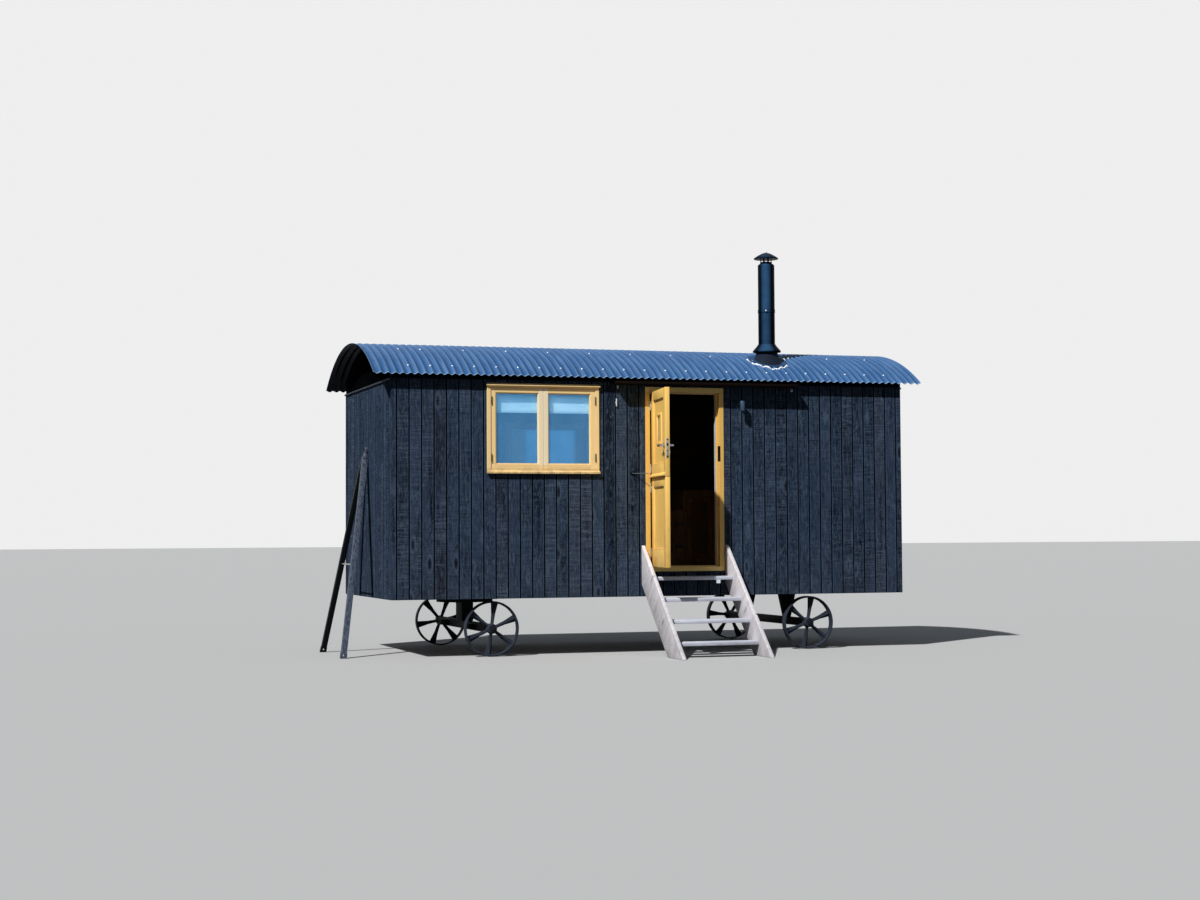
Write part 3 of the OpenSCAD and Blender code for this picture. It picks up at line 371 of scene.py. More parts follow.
def makeGrainGroup():
    # Grain of sawn or planed wood that runs along Z: streaks, fine fibres and knots
    given = newGroup("woodGrain", Vector=None, Streak=26.0, Stretch=0.05, Knots=1.0)
    along = addNode("CombineXYZ", None, {0: 1.0, 1: 1.0, 2: given["Stretch"]}).outputs[0]
    # knots bend the streaks round them
    away, luck = cells(stretched(given["Vector"], (6.5, 6.5, 2.2)), 1.0)
    chosen = times(mapRange(luck, 0.40, 0.42), given["Knots"])
    knot = times(mapRange(away, 0.05, 0.16, 1.0, 0.0), chosen)
    ring = times(mapRange(away, 0.12, 0.17), mapRange(away, 0.17, 0.26, 0.4, 0.0))
    bent = times(mapRange(away, 0.0, 0.5, 0.05, 0.0), chosen)
    push = addNode("CombineXYZ", None, {0: bent, 1: bent, 2: 0.0}).outputs[0]
    bentVector = calcVector("ADD", stretched(given["Vector"], along), push)
    streaks = noise(bentVector, given["Streak"], 4.0, 0.6, 0.3)
    fibres = noise(bentVector, times(given["Streak"], 7.0), 3.0, 0.6)
    height = calc("SUBTRACT", calc("ADD", times(streaks, 0.6), times(fibres, 0.5)),
                  times(knot, 0.4))
    return endGroup(Streaks=streaks, Fibres=fibres, Knot=knot, Ring=times(ring, chosen),
                    Height=height)


def makeSawGroup():
    # Fine marks of the saw across each board, strong on some stretches and gone on others
    given = newGroup("sawMarks", Vector=None, Marks=210.0, Amount=1.0)
    lines = noise(stretched(given["Vector"], (0.05, 0.05, 1.0)), given["Marks"], 2.0, 0.5)
    patchy = noise(given["Vector"], 60.0, 2.0, 0.6)
    sharp = times(mapRange(lines, 0.46, 0.60), mapRange(patchy, 0.35, 0.6, 0.25, 1.0))
    stretches = mapRange(noise(given["Vector"], 1.7, 2.0), 0.36, 0.56)
    return endGroup(Mask=times(times(sharp, stretches), given["Amount"]),
                    Height=times(lines, stretches))


def makeGrimeGroup():
    # Dust and splashes: a mask that is strong near a height and fades above it
    given = newGroup("groundGrime", Vector=None, Low=0.0, High=0.6, Scale=9.0)
    rise = mapRange(split(given["Vector"])[2], given["Low"], given["High"], 1.0, 0.0)
    blotch = noise(given["Vector"], given["Scale"], 5.0, 0.65)
    away, luck = cells(given["Vector"], 14.0)
    specks = times(mapRange(away, 0.03, 0.06, 1.0, 0.0), mapRange(luck, 0.90, 0.92))
    return endGroup(Mask=times(rise, mapRange(blotch, 0.35, 0.7)), Specks=specks)


def makeWearGroup():
    # Chips and rubbed patches of paint on metal, and a fine pitted height
    given = newGroup("paintWear", Vector=None, Scale=22.0, Amount=0.3)
    rough = noise(given["Vector"], given["Scale"], 6.0, 0.7)
    limit = calc("SUBTRACT", 0.78, times(given["Amount"], 0.25))
    return endGroup(Mask=mapRange(rough, limit, calc("ADD", limit, 0.05)),
                    Height=noise(given["Vector"], 240.0, 2.0), Cloud=noise(given["Vector"], 2.3))


plankTone = makePlankGroup()
woodGrain = makeGrainGroup()
sawMarks = makeSawGroup()
groundGrime = makeGrimeGroup()
paintWear = makeWearGroup()
print("effects made")


# Finishes

def newFinish(name, roughness, specular, metallic=0.0):
    material = bpy.data.materials.new(name)
    material.use_nodes = True
    startTree(material.node_tree)
    shader = addNode("BsdfPrincipled", None, {"Roughness": roughness, "Metallic": metallic,
                                              "Specular IOR Level": specular})
    addNode("OutputMaterial", None, {"Surface": shader.outputs[0]})
    return material, shader, addNode("TexCoord").outputs["Object"]


def endFinish(shader, tone, gloss=None, bump=None):
    # The bump is a height, its strength and its distance
    tree.links.new(tone, shader.inputs["Base Color"])
    if gloss:
        tree.links.new(gloss, shader.inputs["Roughness"])
    if bump:
        made = addNode("Bump", None, dict(zip(("Height", "Strength", "Distance"), bump)))
        tree.links.new(made.outputs[0], shader.inputs["Normal"])


blackBoards = {
    "pitch": 0.1279,          # cover of one board
    "start": -2.8838,         # where the run of boards along the cabin begins
    "thick": 0.008,           # depth of the joints
    "dark": (0.0045, 0.0105, 0.0235), "light": (0.0270, 0.0455, 0.0810),
    "brown": (0.0350, 0.0330, 0.0460), "bareAndHighlight": (0.105, 0.143, 0.203),
    "crack": (0.0012, 0.0025, 0.0055), "splash": (0.050, 0.050, 0.052),
    "fleck": (0.30, 0.32, 0.34),
}


def boardFinish(name, axis, start, pitch):
    # Rough boards under black stain. axis is the one that the boards follow each other on.
    material, shader, place = newFinish(name, 0.8, 0.0)
    plank = useGroup(plankTone, Across=split(place)[axis], Start=start, Pitch=pitch)
    moved = calcVector("ADD", place, plank["Shift"])
    grain = useGroup(woodGrain, Vector=moved, Streak=30.0, Stretch=0.045, Knots=1.0)
    saw = useGroup(sawMarks, Vector=moved, Marks=75.0, Amount=plank["Second"])
    grime = useGroup(groundGrime, Vector=place, Low=0.58, High=1.1)
    clouds = noise(stretched(moved, (4.0, 4.0, 1.3)), 1.0, 4.0, 0.6)
    mottle = noise(stretched(moved, (1.0, 1.0, 0.45)), 44.0, 3.0, 0.75)
    patchy = mapRange(noise(moved, 5.0, 2.0), 0.40, 0.58, 0.20, 1.0)
    streaks, fibres, seam = grain["Streaks"], grain["Fibres"], plank["Seam"]
    tone = mixColour(plank["Tone"], blackBoards["dark"], blackBoards["light"])
    tone = layered(tone, blackBoards, (
        (mapRange(plank["Second"], 0.55, 0.95, 0.0, 0.6), "brown"),
        # weather has worn whole stretches of a board paler, and left others dark
        (mapRange(clouds, 0.48, 0.68, 0.0, 0.8), "light"),
        (mapRange(clouds, 0.28, 0.46, 0.65, 0.0), "dark"),
        (mapRange(streaks, 0.50, 0.64, 0.0, 0.85), "light"),
        (mapRange(streaks, 0.32, 0.46, 0.9, 0.0), "crack"),
        (mapRange(fibres, 0.5, 0.66, 0.0, 0.5), "bareAndHighlight"),
        (times(patchy, mapRange(mottle, 0.55, 0.68, 0.0, 0.55)), "bareAndHighlight"),
        (times(patchy, mapRange(mottle, 0.34, 0.46, 0.6, 0.0)), "crack"),
        (times(saw["Mask"], 0.7), "bareAndHighlight"), (times(grain["Knot"], 0.85), "crack"),
        (grain["Ring"], "bareAndHighlight"), (times(grime["Mask"], 0.3), "splash"),
        (times(grime["Specks"], 0.8), "fleck"),
        # stain is thick in the joints; the board edges beside them are painted paler, partly as
        # highlight on the edges and partly as stain worn thin
        (times(mapRange(seam, 0.06, 0.08), mapRange(seam, 0.08, 0.14, 0.30, 0.0)), "bareAndHighlight"),
        (mapRange(seam, 0.044, 0.064, 1.0, 0.0), "crack")))
    height = calc("ADD", grain["Height"], times(saw["Height"], 0.5))
    endFinish(shader, tone, mapRange(fibres, 0.3, 0.7, 0.62, 0.82), (height, 0.85, 0.004))
    return material


upright, level = (0, 0, 0), (0, math.radians(90), 0)
woodPaint = {"roughness": 0.38, "dirt": (0.20, 0.13, 0.06)}


def paintedWood(name, base, deep, turn=upright, grime=0.25, darkHeights=(0.6, 2.2), highlight=None):
    # Opaque paint on planed wood: brush lines and grain that show faintly along the piece
    roughness, dirtColour = pick(woodPaint, "roughness dirt")
    material, shader, place = newFinish(name, roughness, 0.4)
    grain = useGroup(woodGrain, Vector=turned(place, turn), Streak=38.0, Stretch=0.04,
                     Knots=0.25)
    tone = mixColour(mapRange(grain["Streaks"], 0.3, 0.75), deep, base)
    tone = mixColour(mapRange(noise(place, 3.1), 0.35, 0.7, 0.0, 0.45), tone, base)
    dirt = useGroup(groundGrime, Vector=place, Low=darkHeights[0], High=darkHeights[1], Scale=14.0)
    tone = mixColour(times(dirt["Mask"], grime), tone, dirtColour)
    # painted highlight: a stripe by the middle of the window is painted paler
    if highlight:
        x, half, low, colour = pick(highlight, "x half low colour")
        spot = split(place)
        away = calc("ABSOLUTE", calc("SUBTRACT", spot[0], x))
        highlightMask = times(mapRange(away, half, half + 0.02, 0.8, 0.0),
                       mapRange(spot[2], low, low + 0.01))
        tone = mixColour(highlightMask, tone, colour)
    endFinish(shader, tone, mapRange(grain["Fibres"], 0.3, 0.7, roughness - 0.06,
                                     roughness + 0.12), (grain["Height"], 0.25, 0.0012))
    return material


def bareWood(name, pale, dark, turn=upright, roughness=0.75, knots=1.0, bump=0.5,
             specular=0.15):
    material, shader, place = newFinish(name, roughness, specular)
    grain = useGroup(woodGrain, Vector=turned(place, turn), Streak=30.0, Stretch=0.05,
                     Knots=knots)
    grime = useGroup(groundGrime, Vector=place, Low=0.0, High=0.7, Scale=8.0)
    wood = {"dark": dark, "knot": scaled(dark, 0.35), "grime": scaled(dark, 0.45)}
    tone = mixColour(mapRange(grain["Streaks"], 0.32, 0.68), dark, pale)
    tone = layered(tone, wood, ((mapRange(grain["Fibres"], 0.35, 0.7, 0.0, 0.35), "dark"),
                                (times(grain["Knot"], 0.8), "knot"),
                                (times(grime["Mask"], 0.5), "grime")))
    endFinish(shader, tone, mapRange(grain["Fibres"], 0.3, 0.7, roughness - 0.1,
                                     roughness + 0.1), (grain["Height"], bump, 0.002))
    return material


roof = {"radius": 2.39296, "centre": 0.84704, "depth": 0.0095, "pitch": 0.0762,
        "start": -3.0099}
roofPaint = {
    "base": (0.045, 0.118, 0.268), "deep": (0.032, 0.092, 0.220),
    # seam is the painted shade on the side that looks down, and edge the painted highlight at the
    # eaves
    "chalkAndHighlight": (0.105, 0.198, 0.355), "seam": (0.003, 0.006, 0.011),
    "valleyShade": (0.012, 0.052, 0.140), "edge": (0.20, 0.32, 0.50),
}


def roofFinish(name):
    # Coated sheet: chalky where rain has run over the arc, with painted shade underneath and in
    # the valleys, and painted highlight on the crests and at the eaves
    material, shader, place = newFinish(name, 0.5, 0.02)
    effect = useGroup(paintWear, Vector=place, Scale=30.0, Amount=0.04)
    washed = noise(stretched(place, (42.0, 2.2, 2.2)), 1.0, 4.0, 0.6)
    spot = split(place)
    along = calc("DIVIDE", calc("SUBTRACT", spot[0], hutX + roof["start"]), roof["pitch"])
    wave = calc("COSINE", times(along, 2 * math.pi))
    slope = calc("DIVIDE", calc("ABSOLUTE", calc("SUBTRACT", spot[1], hutY)),
                 calc("SUBTRACT", spot[2], roof["centre"]))
    edge = max(abs(vertex.co.y - hutY) / (vertex.co.z - roof["centre"])
               for vertex in nodes["roof_sheet_3"].data.vertices)
    facing = split(addNode("NewGeometry").outputs["Normal"])[2]
    tone = mixColour(mapRange(effect["Cloud"], 0.35, 0.65), roofPaint["deep"],
                     roofPaint["base"])
    tone = layered(tone, roofPaint, (
        (mapRange(washed, 0.46, 0.74, 0.0, 0.75), "chalkAndHighlight"),
        (mapRange(washed, 0.26, 0.42, 0.55, 0.0), "deep"), (effect["Mask"], "chalkAndHighlight"),
        # painted shade in the valleys, and painted highlight on the crests and on the edge at the
        # eaves
        (mapRange(wave, -0.9, -0.1, 0.55, 0.0), "valleyShade"),
        (mapRange(wave, 0.6, 1.0, 0.0, 0.65), "chalkAndHighlight"),
        (mapRange(slope, edge - 0.011, edge - 0.006, 0.0, 0.8), "edge"),
        # painted shade: the side that looks down is painted near black
        (mapRange(facing, -0.12, 0.02, 1.0, 0.0), "seam")))
    endFinish(shader, tone, mapRange(washed, 0.3, 0.7, 0.36, 0.52),
              (effect["Height"], 0.12, 0.0008))
    return material


flue = {
    "x": 1.418, "y": -0.82, "joint": 3.636, "top": 4.15,
    "side": (-0.43, -0.90, 0),                # the side that gets the painted sheen
    "from": 0.77, "to": 0.99, "cap": 0.30,    # the painted sheen's edge, and its share on the cap
    "paintedSheen": (0.027, 0.077, 0.162), "black": (0.001, 0.003, 0.006),
    # the blue specular tint is a painted reflection of the sky
    "worn": (0.03, 0.04, 0.05), "paintedReflectionTint": (0.28, 0.55, 1.0, 1),
}
boot = {"from": 0.146, "to": 0.158, "lower": 0.038,      # where the painted flange begins
        "dark": (0.009, 0.014, 0.026), "pale": (0.017, 0.023, 0.038),
        "painted": (0.024, 0.070, 0.155), "worn": (0.04, 0.04, 0.045)}


def fromFlue(place, shift=0.0):
    # A level arrow from the flue's axis to the place
    spot = calcVector("SUBTRACT", place, tuple(at(flue["x"], flue["y"] - shift, 0)))
    return stretched(spot, (1, 1, 0))


def flueFinish(name):
    # Black enamel with a painted sheen: paler blue down one side, standing in for the sky's
    # reflection
    material, shader, place = newFinish(name, 0.35, 0.02)
    shader.inputs["Specular Tint"].default_value = flue["paintedReflectionTint"]
    effect = useGroup(paintWear, Vector=place, Scale=22.0, Amount=0.05)
    side = calcVector("DOT_PRODUCT", calcVector("NORMALIZE", fromFlue(place)), flue["side"])
    paintedSheen = times(mapRange(side, flue["from"], flue["to"]),
                  mapRange(noise(place, 9.0), 0.3, 0.7, 0.75, 1.0))
    # the cap gets only a share of the painted sheen, and stays darker
    paintedSheen = times(paintedSheen, mapRange(split(place)[2], flue["top"], flue["top"] + 0.01, 1.0,
                                  flue["cap"]))
    tone = mixColour(paintedSheen, flue["black"], flue["paintedSheen"])
    tone = mixColour(effect["Mask"], tone, flue["worn"])
    endFinish(shader, tone, mapRange(effect["Cloud"], 0.3, 0.7, 0.25, 0.38),
              (effect["Height"], 0.1, 0.0008))
    return material


def bootFinish(name):
    # Dark rubber round the pipe, and the roof's paint on the flange outside it
    material, shader, place = newFinish(name, 0.7, 0.04)
    effect = useGroup(paintWear, Vector=place, Scale=30.0, Amount=0.3)
    reach = calcVector("LENGTH", fromFlue(place, boot["lower"]))
    tone = mixColour(mapRange(effect["Cloud"], 0.35, 0.65), boot["dark"], boot["pale"])
    tone = layered(tone, boot, ((mapRange(reach, boot["from"], boot["to"]), "painted"),
                                (effect["Mask"], "worn")))
    endFinish(shader, tone, bump=(effect["Height"], 0.25, 0.001))
    return material


drawbarPaint = {"dusty": (0.080, 0.098, 0.135), "streak": (0.026, 0.034, 0.050),
                "black": (0.003, 0.004, 0.005), "rust": (0.07, 0.05, 0.035)}


def drawbarFinish(name):
    # The near leg has gone dusty grey in streaks; the far leg is painted black, as painted shade
    # on the leg that faces away from the light
    material, shader, place = newFinish(name, 0.5, 0.04)
    effect = useGroup(paintWear, Vector=place, Scale=26.0, Amount=0.3)
    streaked = noise(stretched(place, (70.0, 70.0, 1.6)), 1.0, 3.0, 0.6)
    tone = mixColour(mapRange(streaked, 0.38, 0.58), drawbarPaint["streak"],
                     drawbarPaint["dusty"])
    tone = layered(tone, drawbarPaint, (
        # painted shade: the far leg is painted black
        (mapRange(split(place)[1], hutY, hutY + 0.03), "black"), (effect["Mask"], "rust")))
    endFinish(shader, tone, bump=(effect["Height"], 0.2, 0.001))
    return material


def paintedMetal(name, base, worn, roughness=0.4, wear=0.3, metallic=0.0, specular=0.5,
                 pits=0.15):
    material, shader, place = newFinish(name, roughness, specular, metallic)
    effect = useGroup(paintWear, Vector=place, Scale=22.0, Amount=wear)
    tone = mixColour(mapRange(effect["Cloud"], 0.35, 0.7, 0.0, 0.35), base,
                     [min(1.0, value * 1.5 + 0.004) for value in base])
    tone = mixColour(effect["Mask"], tone, worn)
    endFinish(shader, tone, mapRange(effect["Cloud"], 0.3, 0.7, roughness - 0.08,
                                     roughness + 0.1), (effect["Height"], pits, 0.0008))
    return material


# painted reflection: the panes' blue colours and blue specular tint stand in for the sky they
# reflect, and the door pane's grey for what it reflects
glazing = {"bend": 2.4, "paintedReflectionTint": (0.08, 0.45, 1.0, 1), "shade": 0.05,
           "deep": (0.37, 0.63, 0.86), "pale": (0.47, 0.72, 0.94)}
doorGlazing = {"bend": 1.5, "paintedReflectionTint": (0.5, 0.45, 0.5, 1), "shade": 0.1,
               "deep": (0.40, 0.36, 0.36), "pale": (0.48, 0.44, 0.44)}


def glassFinish(name, clear, pane=glazing):
    # Glass whose colour and specular tint are painted reflection, smeared a little by rain
    material, shader, place = newFinish(name, 0.03, 1.0)
    shader.inputs["Transmission Weight"].default_value = clear
    shader.inputs["IOR"].default_value = pane["bend"]
    shader.inputs["Specular Tint"].default_value = pane["paintedReflectionTint"]
    smear = noise(place, 5.0)
    tone = mixColour(mapRange(smear, 0.35, 0.7), pane["deep"], pane["pale"])
    endFinish(shader, tone, mapRange(smear, 0.4, 0.8, 0.02, 0.07))
    # sunlight goes through the pane and falls on what is behind it
    shadow = addNode("LightPath").outputs["Is Shadow Ray"]
    tree.links.new(mapRange(shadow, 0.0, 1.0, 1.0, pane["shade"]), shader.inputs["Alpha"])
    return material


blindCloth = {"thread": (0.88, 0.88, 0.86), "pale": (0.96, 0.95, 0.92),
              "foldShade": (0.70, 0.72, 0.74)}


def clothFinish(name):
    material, shader, place = newFinish(name, 0.85, 0.2)
    threads = noise(stretched(place, (1.0, 0.05, 1.0)), 420.0, 1.0)
    # painted shade: the cloth is darker in diagonal streaks, as shade in folds
    folds = noise(turned(place, (0, 0.35, 0)), 3.0, 2.0)
    tone = mixColour(mapRange(threads, 0.35, 0.65), blindCloth["thread"], blindCloth["pale"])
    tone = mixColour(mapRange(folds, 0.4, 0.7, 0.0, 0.3), tone, blindCloth["foldShade"])
    endFinish(shader, tone, bump=(threads, 0.3, 0.0006))
    return material


doorGold = ((0.85, 0.53, 0.135), (0.76, 0.44, 0.10))
# painted light: the door leaves get a paler gold than the frame, standing in for more sun on their
# faces
litLeafGold = ((0.95, 0.61, 0.165), (0.88, 0.53, 0.125))
# painted highlight on the casement stiles by the middle of the window
windowHighlight = {"x": hutX - 1.23, "half": 0.05, "low": 1.935, "colour": (0.95, 0.84, 0.61)}
windowDarkening = (1.86, 1.93)     # the window paint is darker below these heights, fading out between them
finishes = {
    "boardsLong": boardFinish("Black boards, long walls", 0, hutX + blackBoards["start"],
                              blackBoards["pitch"]),
    "boardsEnd": boardFinish("Black boards, end walls", 1, hutY - halfW, endPitch),
    "trim": paintedMetal("Black trim paint", (0.0035, 0.0055, 0.010), (0.018, 0.018, 0.02),
                         0.6, 0.2, specular=0.0),
    "drip": paintedMetal("Dusty drip rail", (0.027, 0.034, 0.046), (0.02, 0.02, 0.02), 0.6,
                         specular=0.05),
    # painted shade: the arch boards are painted near black, darker than paint, standing in for the
    # shade under the verge
    "arch": paintedMetal("Painted shade on the arches", (0.0008, 0.0013, 0.0018),
                         (0.004, 0.004, 0.004), 0.7, 0.1, specular=0.0),
    "roof": roofFinish("Blue roof paint"),
    "flue": flueFinish("Flue enamel"),
    "boot": bootFinish("Rubber boot"),
    "chassis": paintedMetal("Chassis paint", (0.010, 0.012, 0.015), (0.045, 0.030, 0.020),
                            0.6, 0.5, specular=0.04, pits=0.4),
    "iron": paintedMetal("Cast iron", (0.025, 0.031, 0.044), (0.060, 0.042, 0.032), 0.5,
                         0.4, specular=0.05, pits=0.6),
    "drawbar": drawbarFinish("Drawbar paint"),
    "doorUp": paintedWood("Golden door paint, upright", *doorGold),
    # painted light: the frame's head and sill get a paler, greener gold than the jambs, standing
    # in for sky light in their shade
    "doorAcross": paintedWood("Golden door paint, level", (0.90, 0.66, 0.23),
                              (0.80, 0.56, 0.17), level, 0.1),
    "leafUp": paintedWood("Golden leaf paint, upright", *litLeafGold),
    "leafAcross": paintedWood("Golden leaf paint, level", *litLeafGold, level),
    # painted shade under the leaves' top rails
    "leafShade": paintedWood("Leaf paint, painted shade under rails", (0.20, 0.11, 0.030), (0.10, 0.05, 0.012)),
    "windowUp": paintedWood("Cream window paint, upright", (0.98, 0.72, 0.34),
                            (0.94, 0.65, 0.29), darkHeights=windowDarkening, highlight=windowHighlight),
    "windowAcross": paintedWood("Cream window paint, level", (0.93, 0.68, 0.33),
                                (0.87, 0.59, 0.25), level, 0.8, windowDarkening),
    "glass": glassFinish("Window glass", 0.90),
    "backGlass": glassFinish("Clouded back window glass", 0.3),
    "doorGlass": glassFinish("Door glass", 0.7, doorGlazing),
    "steel": paintedMetal("Hinge steel", (0.52, 0.52, 0.50), (0.3, 0.24, 0.18), 0.35, 0.35,
                          1.0),
    "brass": paintedMetal("Dull brass", (0.16, 0.115, 0.055), (0.07, 0.05, 0.03), 0.5, 0.4,
                          1.0),
    "chrome": paintedMetal("Handle chrome", (0.30, 0.32, 0.36), (0.2, 0.2, 0.2), 0.22, 0.1,
                           1.0, pits=0.03),
    "hook": paintedMetal("Blackened iron", (0.085, 0.095, 0.110), (0.040, 0.036, 0.034),
                         0.5, metallic=0.2, specular=0.2),
    "screw": paintedMetal("Pale screw caps", (0.66, 0.74, 0.82), (0.35, 0.33, 0.3), 0.35,
                          0.2, 0.4),
    "sealant": paintedMetal("White sealant", (0.80, 0.84, 0.92), (0.52, 0.52, 0.54), 0.55,
                            0.2, specular=0.4, pits=0.5),
    "lamp": paintedMetal("Lamp metal", (0.050, 0.085, 0.140), (0.10, 0.10, 0.11), 0.45, 0.2,
                         0.5, 0.2),
    "lens": paintedMetal("Lamp lens", (0.55, 0.56, 0.56), (0.3, 0.3, 0.3), 0.2, 0.1),
    "blindBar": paintedMetal("Blind bar", (0.62, 0.63, 0.62), (0.4, 0.4, 0.38), 0.45, 0.1),
    "cloth": clothFinish("Blind cloth"),
    "seal": paintedMetal("Pale weatherstrip", (0.48, 0.46, 0.42), (0.3, 0.28, 0.25), 0.6,
                         0.2, specular=0.3),
    # painted shade: the hood board gets a near-black brown, standing in for the eave's shade over
    # it
    "hood": bareWood("Hood board", (0.011, 0.007, 0.005), (0.005, 0.003, 0.003), level,
                     knots=0.3, bump=0.3, specular=0.02),
    "stepsUp": bareWood("Weathered step sides", (0.74, 0.71, 0.74), (0.52, 0.49, 0.50),
                        (math.radians(-42), 0, 0)),
    # painted sky light: the treads are tinted bluer than the step sides, standing in for blue
    # light in their shade
    "stepsAcross": bareWood("Weathered treads", (0.68, 0.71, 0.80), (0.46, 0.47, 0.53),
                            level),
    "floorWood": bareWood("Floor boards", (0.30, 0.17, 0.08), (0.19, 0.10, 0.045), level,
                          0.5),
    # painted shade: the ceiling and lining boards get a very dark wood colour, standing in for the
    # gloom inside the hut
    "ceiling": bareWood("Ceiling boards", (0.12, 0.080, 0.048), (0.075, 0.048, 0.028),
                        level, 0.6),
    "lining": bareWood("Lining boards", (0.060, 0.042, 0.028), (0.038, 0.026, 0.017), level,
                       0.6),
    "cupboardDeep": bareWood("Cupboard panels", (0.20, 0.11, 0.05), (0.13, 0.07, 0.032),
                             roughness=0.5),
    "cupboard": bareWood("Cupboard wood", (0.30, 0.16, 0.070), (0.20, 0.10, 0.042),
                         roughness=0.5),
}
print("finishes made")


# Boards outside and inside

edge = halfL + blackBoards["thick"]
vaultReach = 3.2      # half the length of the curved cuts
openings = {
    "window": ((-1.826, -1.26, 1.85), (-0.634, -1.0, 2.77)),
    "doorFrame": ((-0.127, -1.26, 0.841), (0.745, -1.0, 2.76)),
    "hood": ((-0.482, -1.40, 2.7765), (1.552, -1.2, 2.9)),
    "backWindow": ((-0.985, 1.0, 1.90), (-0.055, 1.26, 2.50)),
    "buttJoint": ((1.7085, -1.24, 2.2115), (1.8345, -1.21, 2.2155)),
}
# axes: the one that the boards follow each other on, their length and their thickness.
# span: the ends of each board. ends: where the run is cut off. vault: radius of a curved cut.
boardKinds = {
    "outerLong": {"axes": (0, 2, 1), "face": halfW, "thick": blackBoards["thick"],
                  "span": (0.585, 2.803), "ends": (-edge, edge),
                  "first": blackBoards["start"], "gap": 0.008,
                  "pitch": blackBoards["pitch"], "uneven": 0.0012, "chamfer": 0.0025},
    "outerEnd": {"axes": (1, 2, 0), "face": halfL, "thick": blackBoards["thick"],
                 "span": (0.585, 2.7855), "ends": (-halfW, halfW), "gap": 0.008,
                 "pitch": endPitch, "uneven": 0.0012, "chamfer": 0.0025},
    "arch": {"axes": (1, 2, 0), "face": 2.788, "thick": 0.006, "span": (2.8125, 3.2),
             "ends": (0.02 - halfW, halfW - 0.02), "first": -halfW, "gap": 0.008,
             "pitch": endPitch, "uneven": 0.0005, "chamfer": 0.0015, "vault": 2.2955},
    "liningLong": {"axes": (2, 0, 1), "face": 1.12, "thick": -0.008, "span": (-2.70, 2.70),
                   "ends": (0.847, 2.858), "gap": 0.003, "pitch": 0.118,
                   "uneven": 0.0003, "chamfer": 0.0012},
    "liningEnd": {"axes": (2, 1, 0), "face": 2.70, "thick": -0.008, "span": (-1.112, 1.112),
                  "ends": (0.847, 3.2), "gap": 0.003, "pitch": 0.118,
                  "uneven": 0.0003, "chamfer": 0.0012, "vault": 2.3095},
    "floor": {"axes": (1, 0, 2), "face": 0.841, "thick": 0.006, "span": (-2.70, 2.70),
              "ends": (-1.12, 1.12), "gap": 0.002, "pitch": 0.14,
              "uneven": 0.0002, "chamfer": 0.001},
}
boardRuns = (
    # piece, finish, kind, side of the hut, seed of its random numbers, openings
    ("front_boards", "boardsLong", "outerLong", -1, 3, "window doorFrame hood buttJoint"),
    ("back_boards", "boardsLong", "outerLong", 1, 7, "backWindow"),
    ("left_end_boards", "boardsEnd", "outerEnd", -1, 11, ""),
    ("right_end_boards", "boardsEnd", "outerEnd", 1, 13, ""),
    ("front_lining", "lining", "liningLong", -1, 5, "window doorFrame"),
    ("back_lining", "lining", "liningLong", 1, 5, "backWindow"),
    ("left_lining", "lining", "liningEnd", -1, 5, ""),
    ("right_lining", "lining", "liningEnd", 1, 5, ""),
    ("floor_boards", "floorWood", "floor", 1, 9, ""),
    ("left_arch_boards", "arch", "arch", -1, 17, ""),
    ("right_arch_boards", "arch", "arch", 1, 17, ""),
)


def layBoards(run, side, seed):
    # One board is modelled, an array repeats it, and the end boards are cut to the run's ends
    (axis, along, depth), (start, stop) = run["axes"], run["ends"]
    pitch, gap, span = pick(run, "pitch gap span")
    face, thick, first = side * run["face"], side * run["thick"], run.get("first", start)
    count = math.ceil((stop - first) / pitch - 0.02)
    corners = [0, 0, 0], [0, 0, 0]
    for corner, *values in zip(corners, (first + gap / 2, first + pitch - gap / 2), span,
                               (face, face + thick)):
        corner[axis], corner[along], corner[depth] = values
    boards = boxBetween(*corners)
    step = [0.0, 0.0, 0.0]
    step[axis] = pitch
    addModifier(boards, "ARRAY", count=count, use_relative_offset=False,
                use_constant_offset=True, constant_offset_displace=step)
    rng = random.Random(seed)
    proud = [rng.uniform(-1, 1) * run["uneven"] for i in range(count)]
    middle = at(0, 0, 0)
    halfway = middle[depth] + face + thick / 2
    for vertex in boards.data.vertices:
        place = vertex.co[axis] - middle[axis]
        if (vertex.co[depth] - halfway) * thick > 0:
            vertex.co[depth] += proud[min(count - 1, max(0, int((place - first) / pitch)))]
        vertex.co[axis] = middle[axis] + min(max(place, start), stop)
    return boards


def makeBoards():
    for name, finish, kind, side, seed, cuts in boardRuns:
        run = boardKinds[kind]
        boards = layBoards(run, side, seed)
        if cuts:
            cutAway(boards, [boxBetween(*openings[cut]) for cut in cuts.split()])
        if "vault" in run:
            ends = [at(x, 0, roof["centre"]) for x in (-vaultReach, vaultReach)]
            cutAway(boards, [addRod(*ends, run["vault"], 180)], "INTERSECT")
        finishPiece(bevelEdges(boards, run["chamfer"]), name, finish)


makeBoards()
softCopy("gable_drip_rails", "drip_rails", "drip")
softCopy("eaves_boards", "eaves_trim", "trim")
softCopy("door_hood", "hood_board", "hood", 0.003)
print("walls boarded")


# Roof sheets, their screws, and the flue

screws = {
    # rows of screws: degrees from the ridge, and the crests that have one
    "rows": ((29.6, range(5, 77, 3)), (17.4, (5, *range(8, 77, 6))), (1.8, range(8, 77, 6))),
    "washer": 0.0110, "washerHigh": 0.003, "cap": 0.0080, "capHigh": 0.007,
    "capTop": 0.55,           # the cap's radius at its top, as a share
    "sunk": 0.0005,
    "clear": 0.24,            # no screw is nearer than this to the flue
}


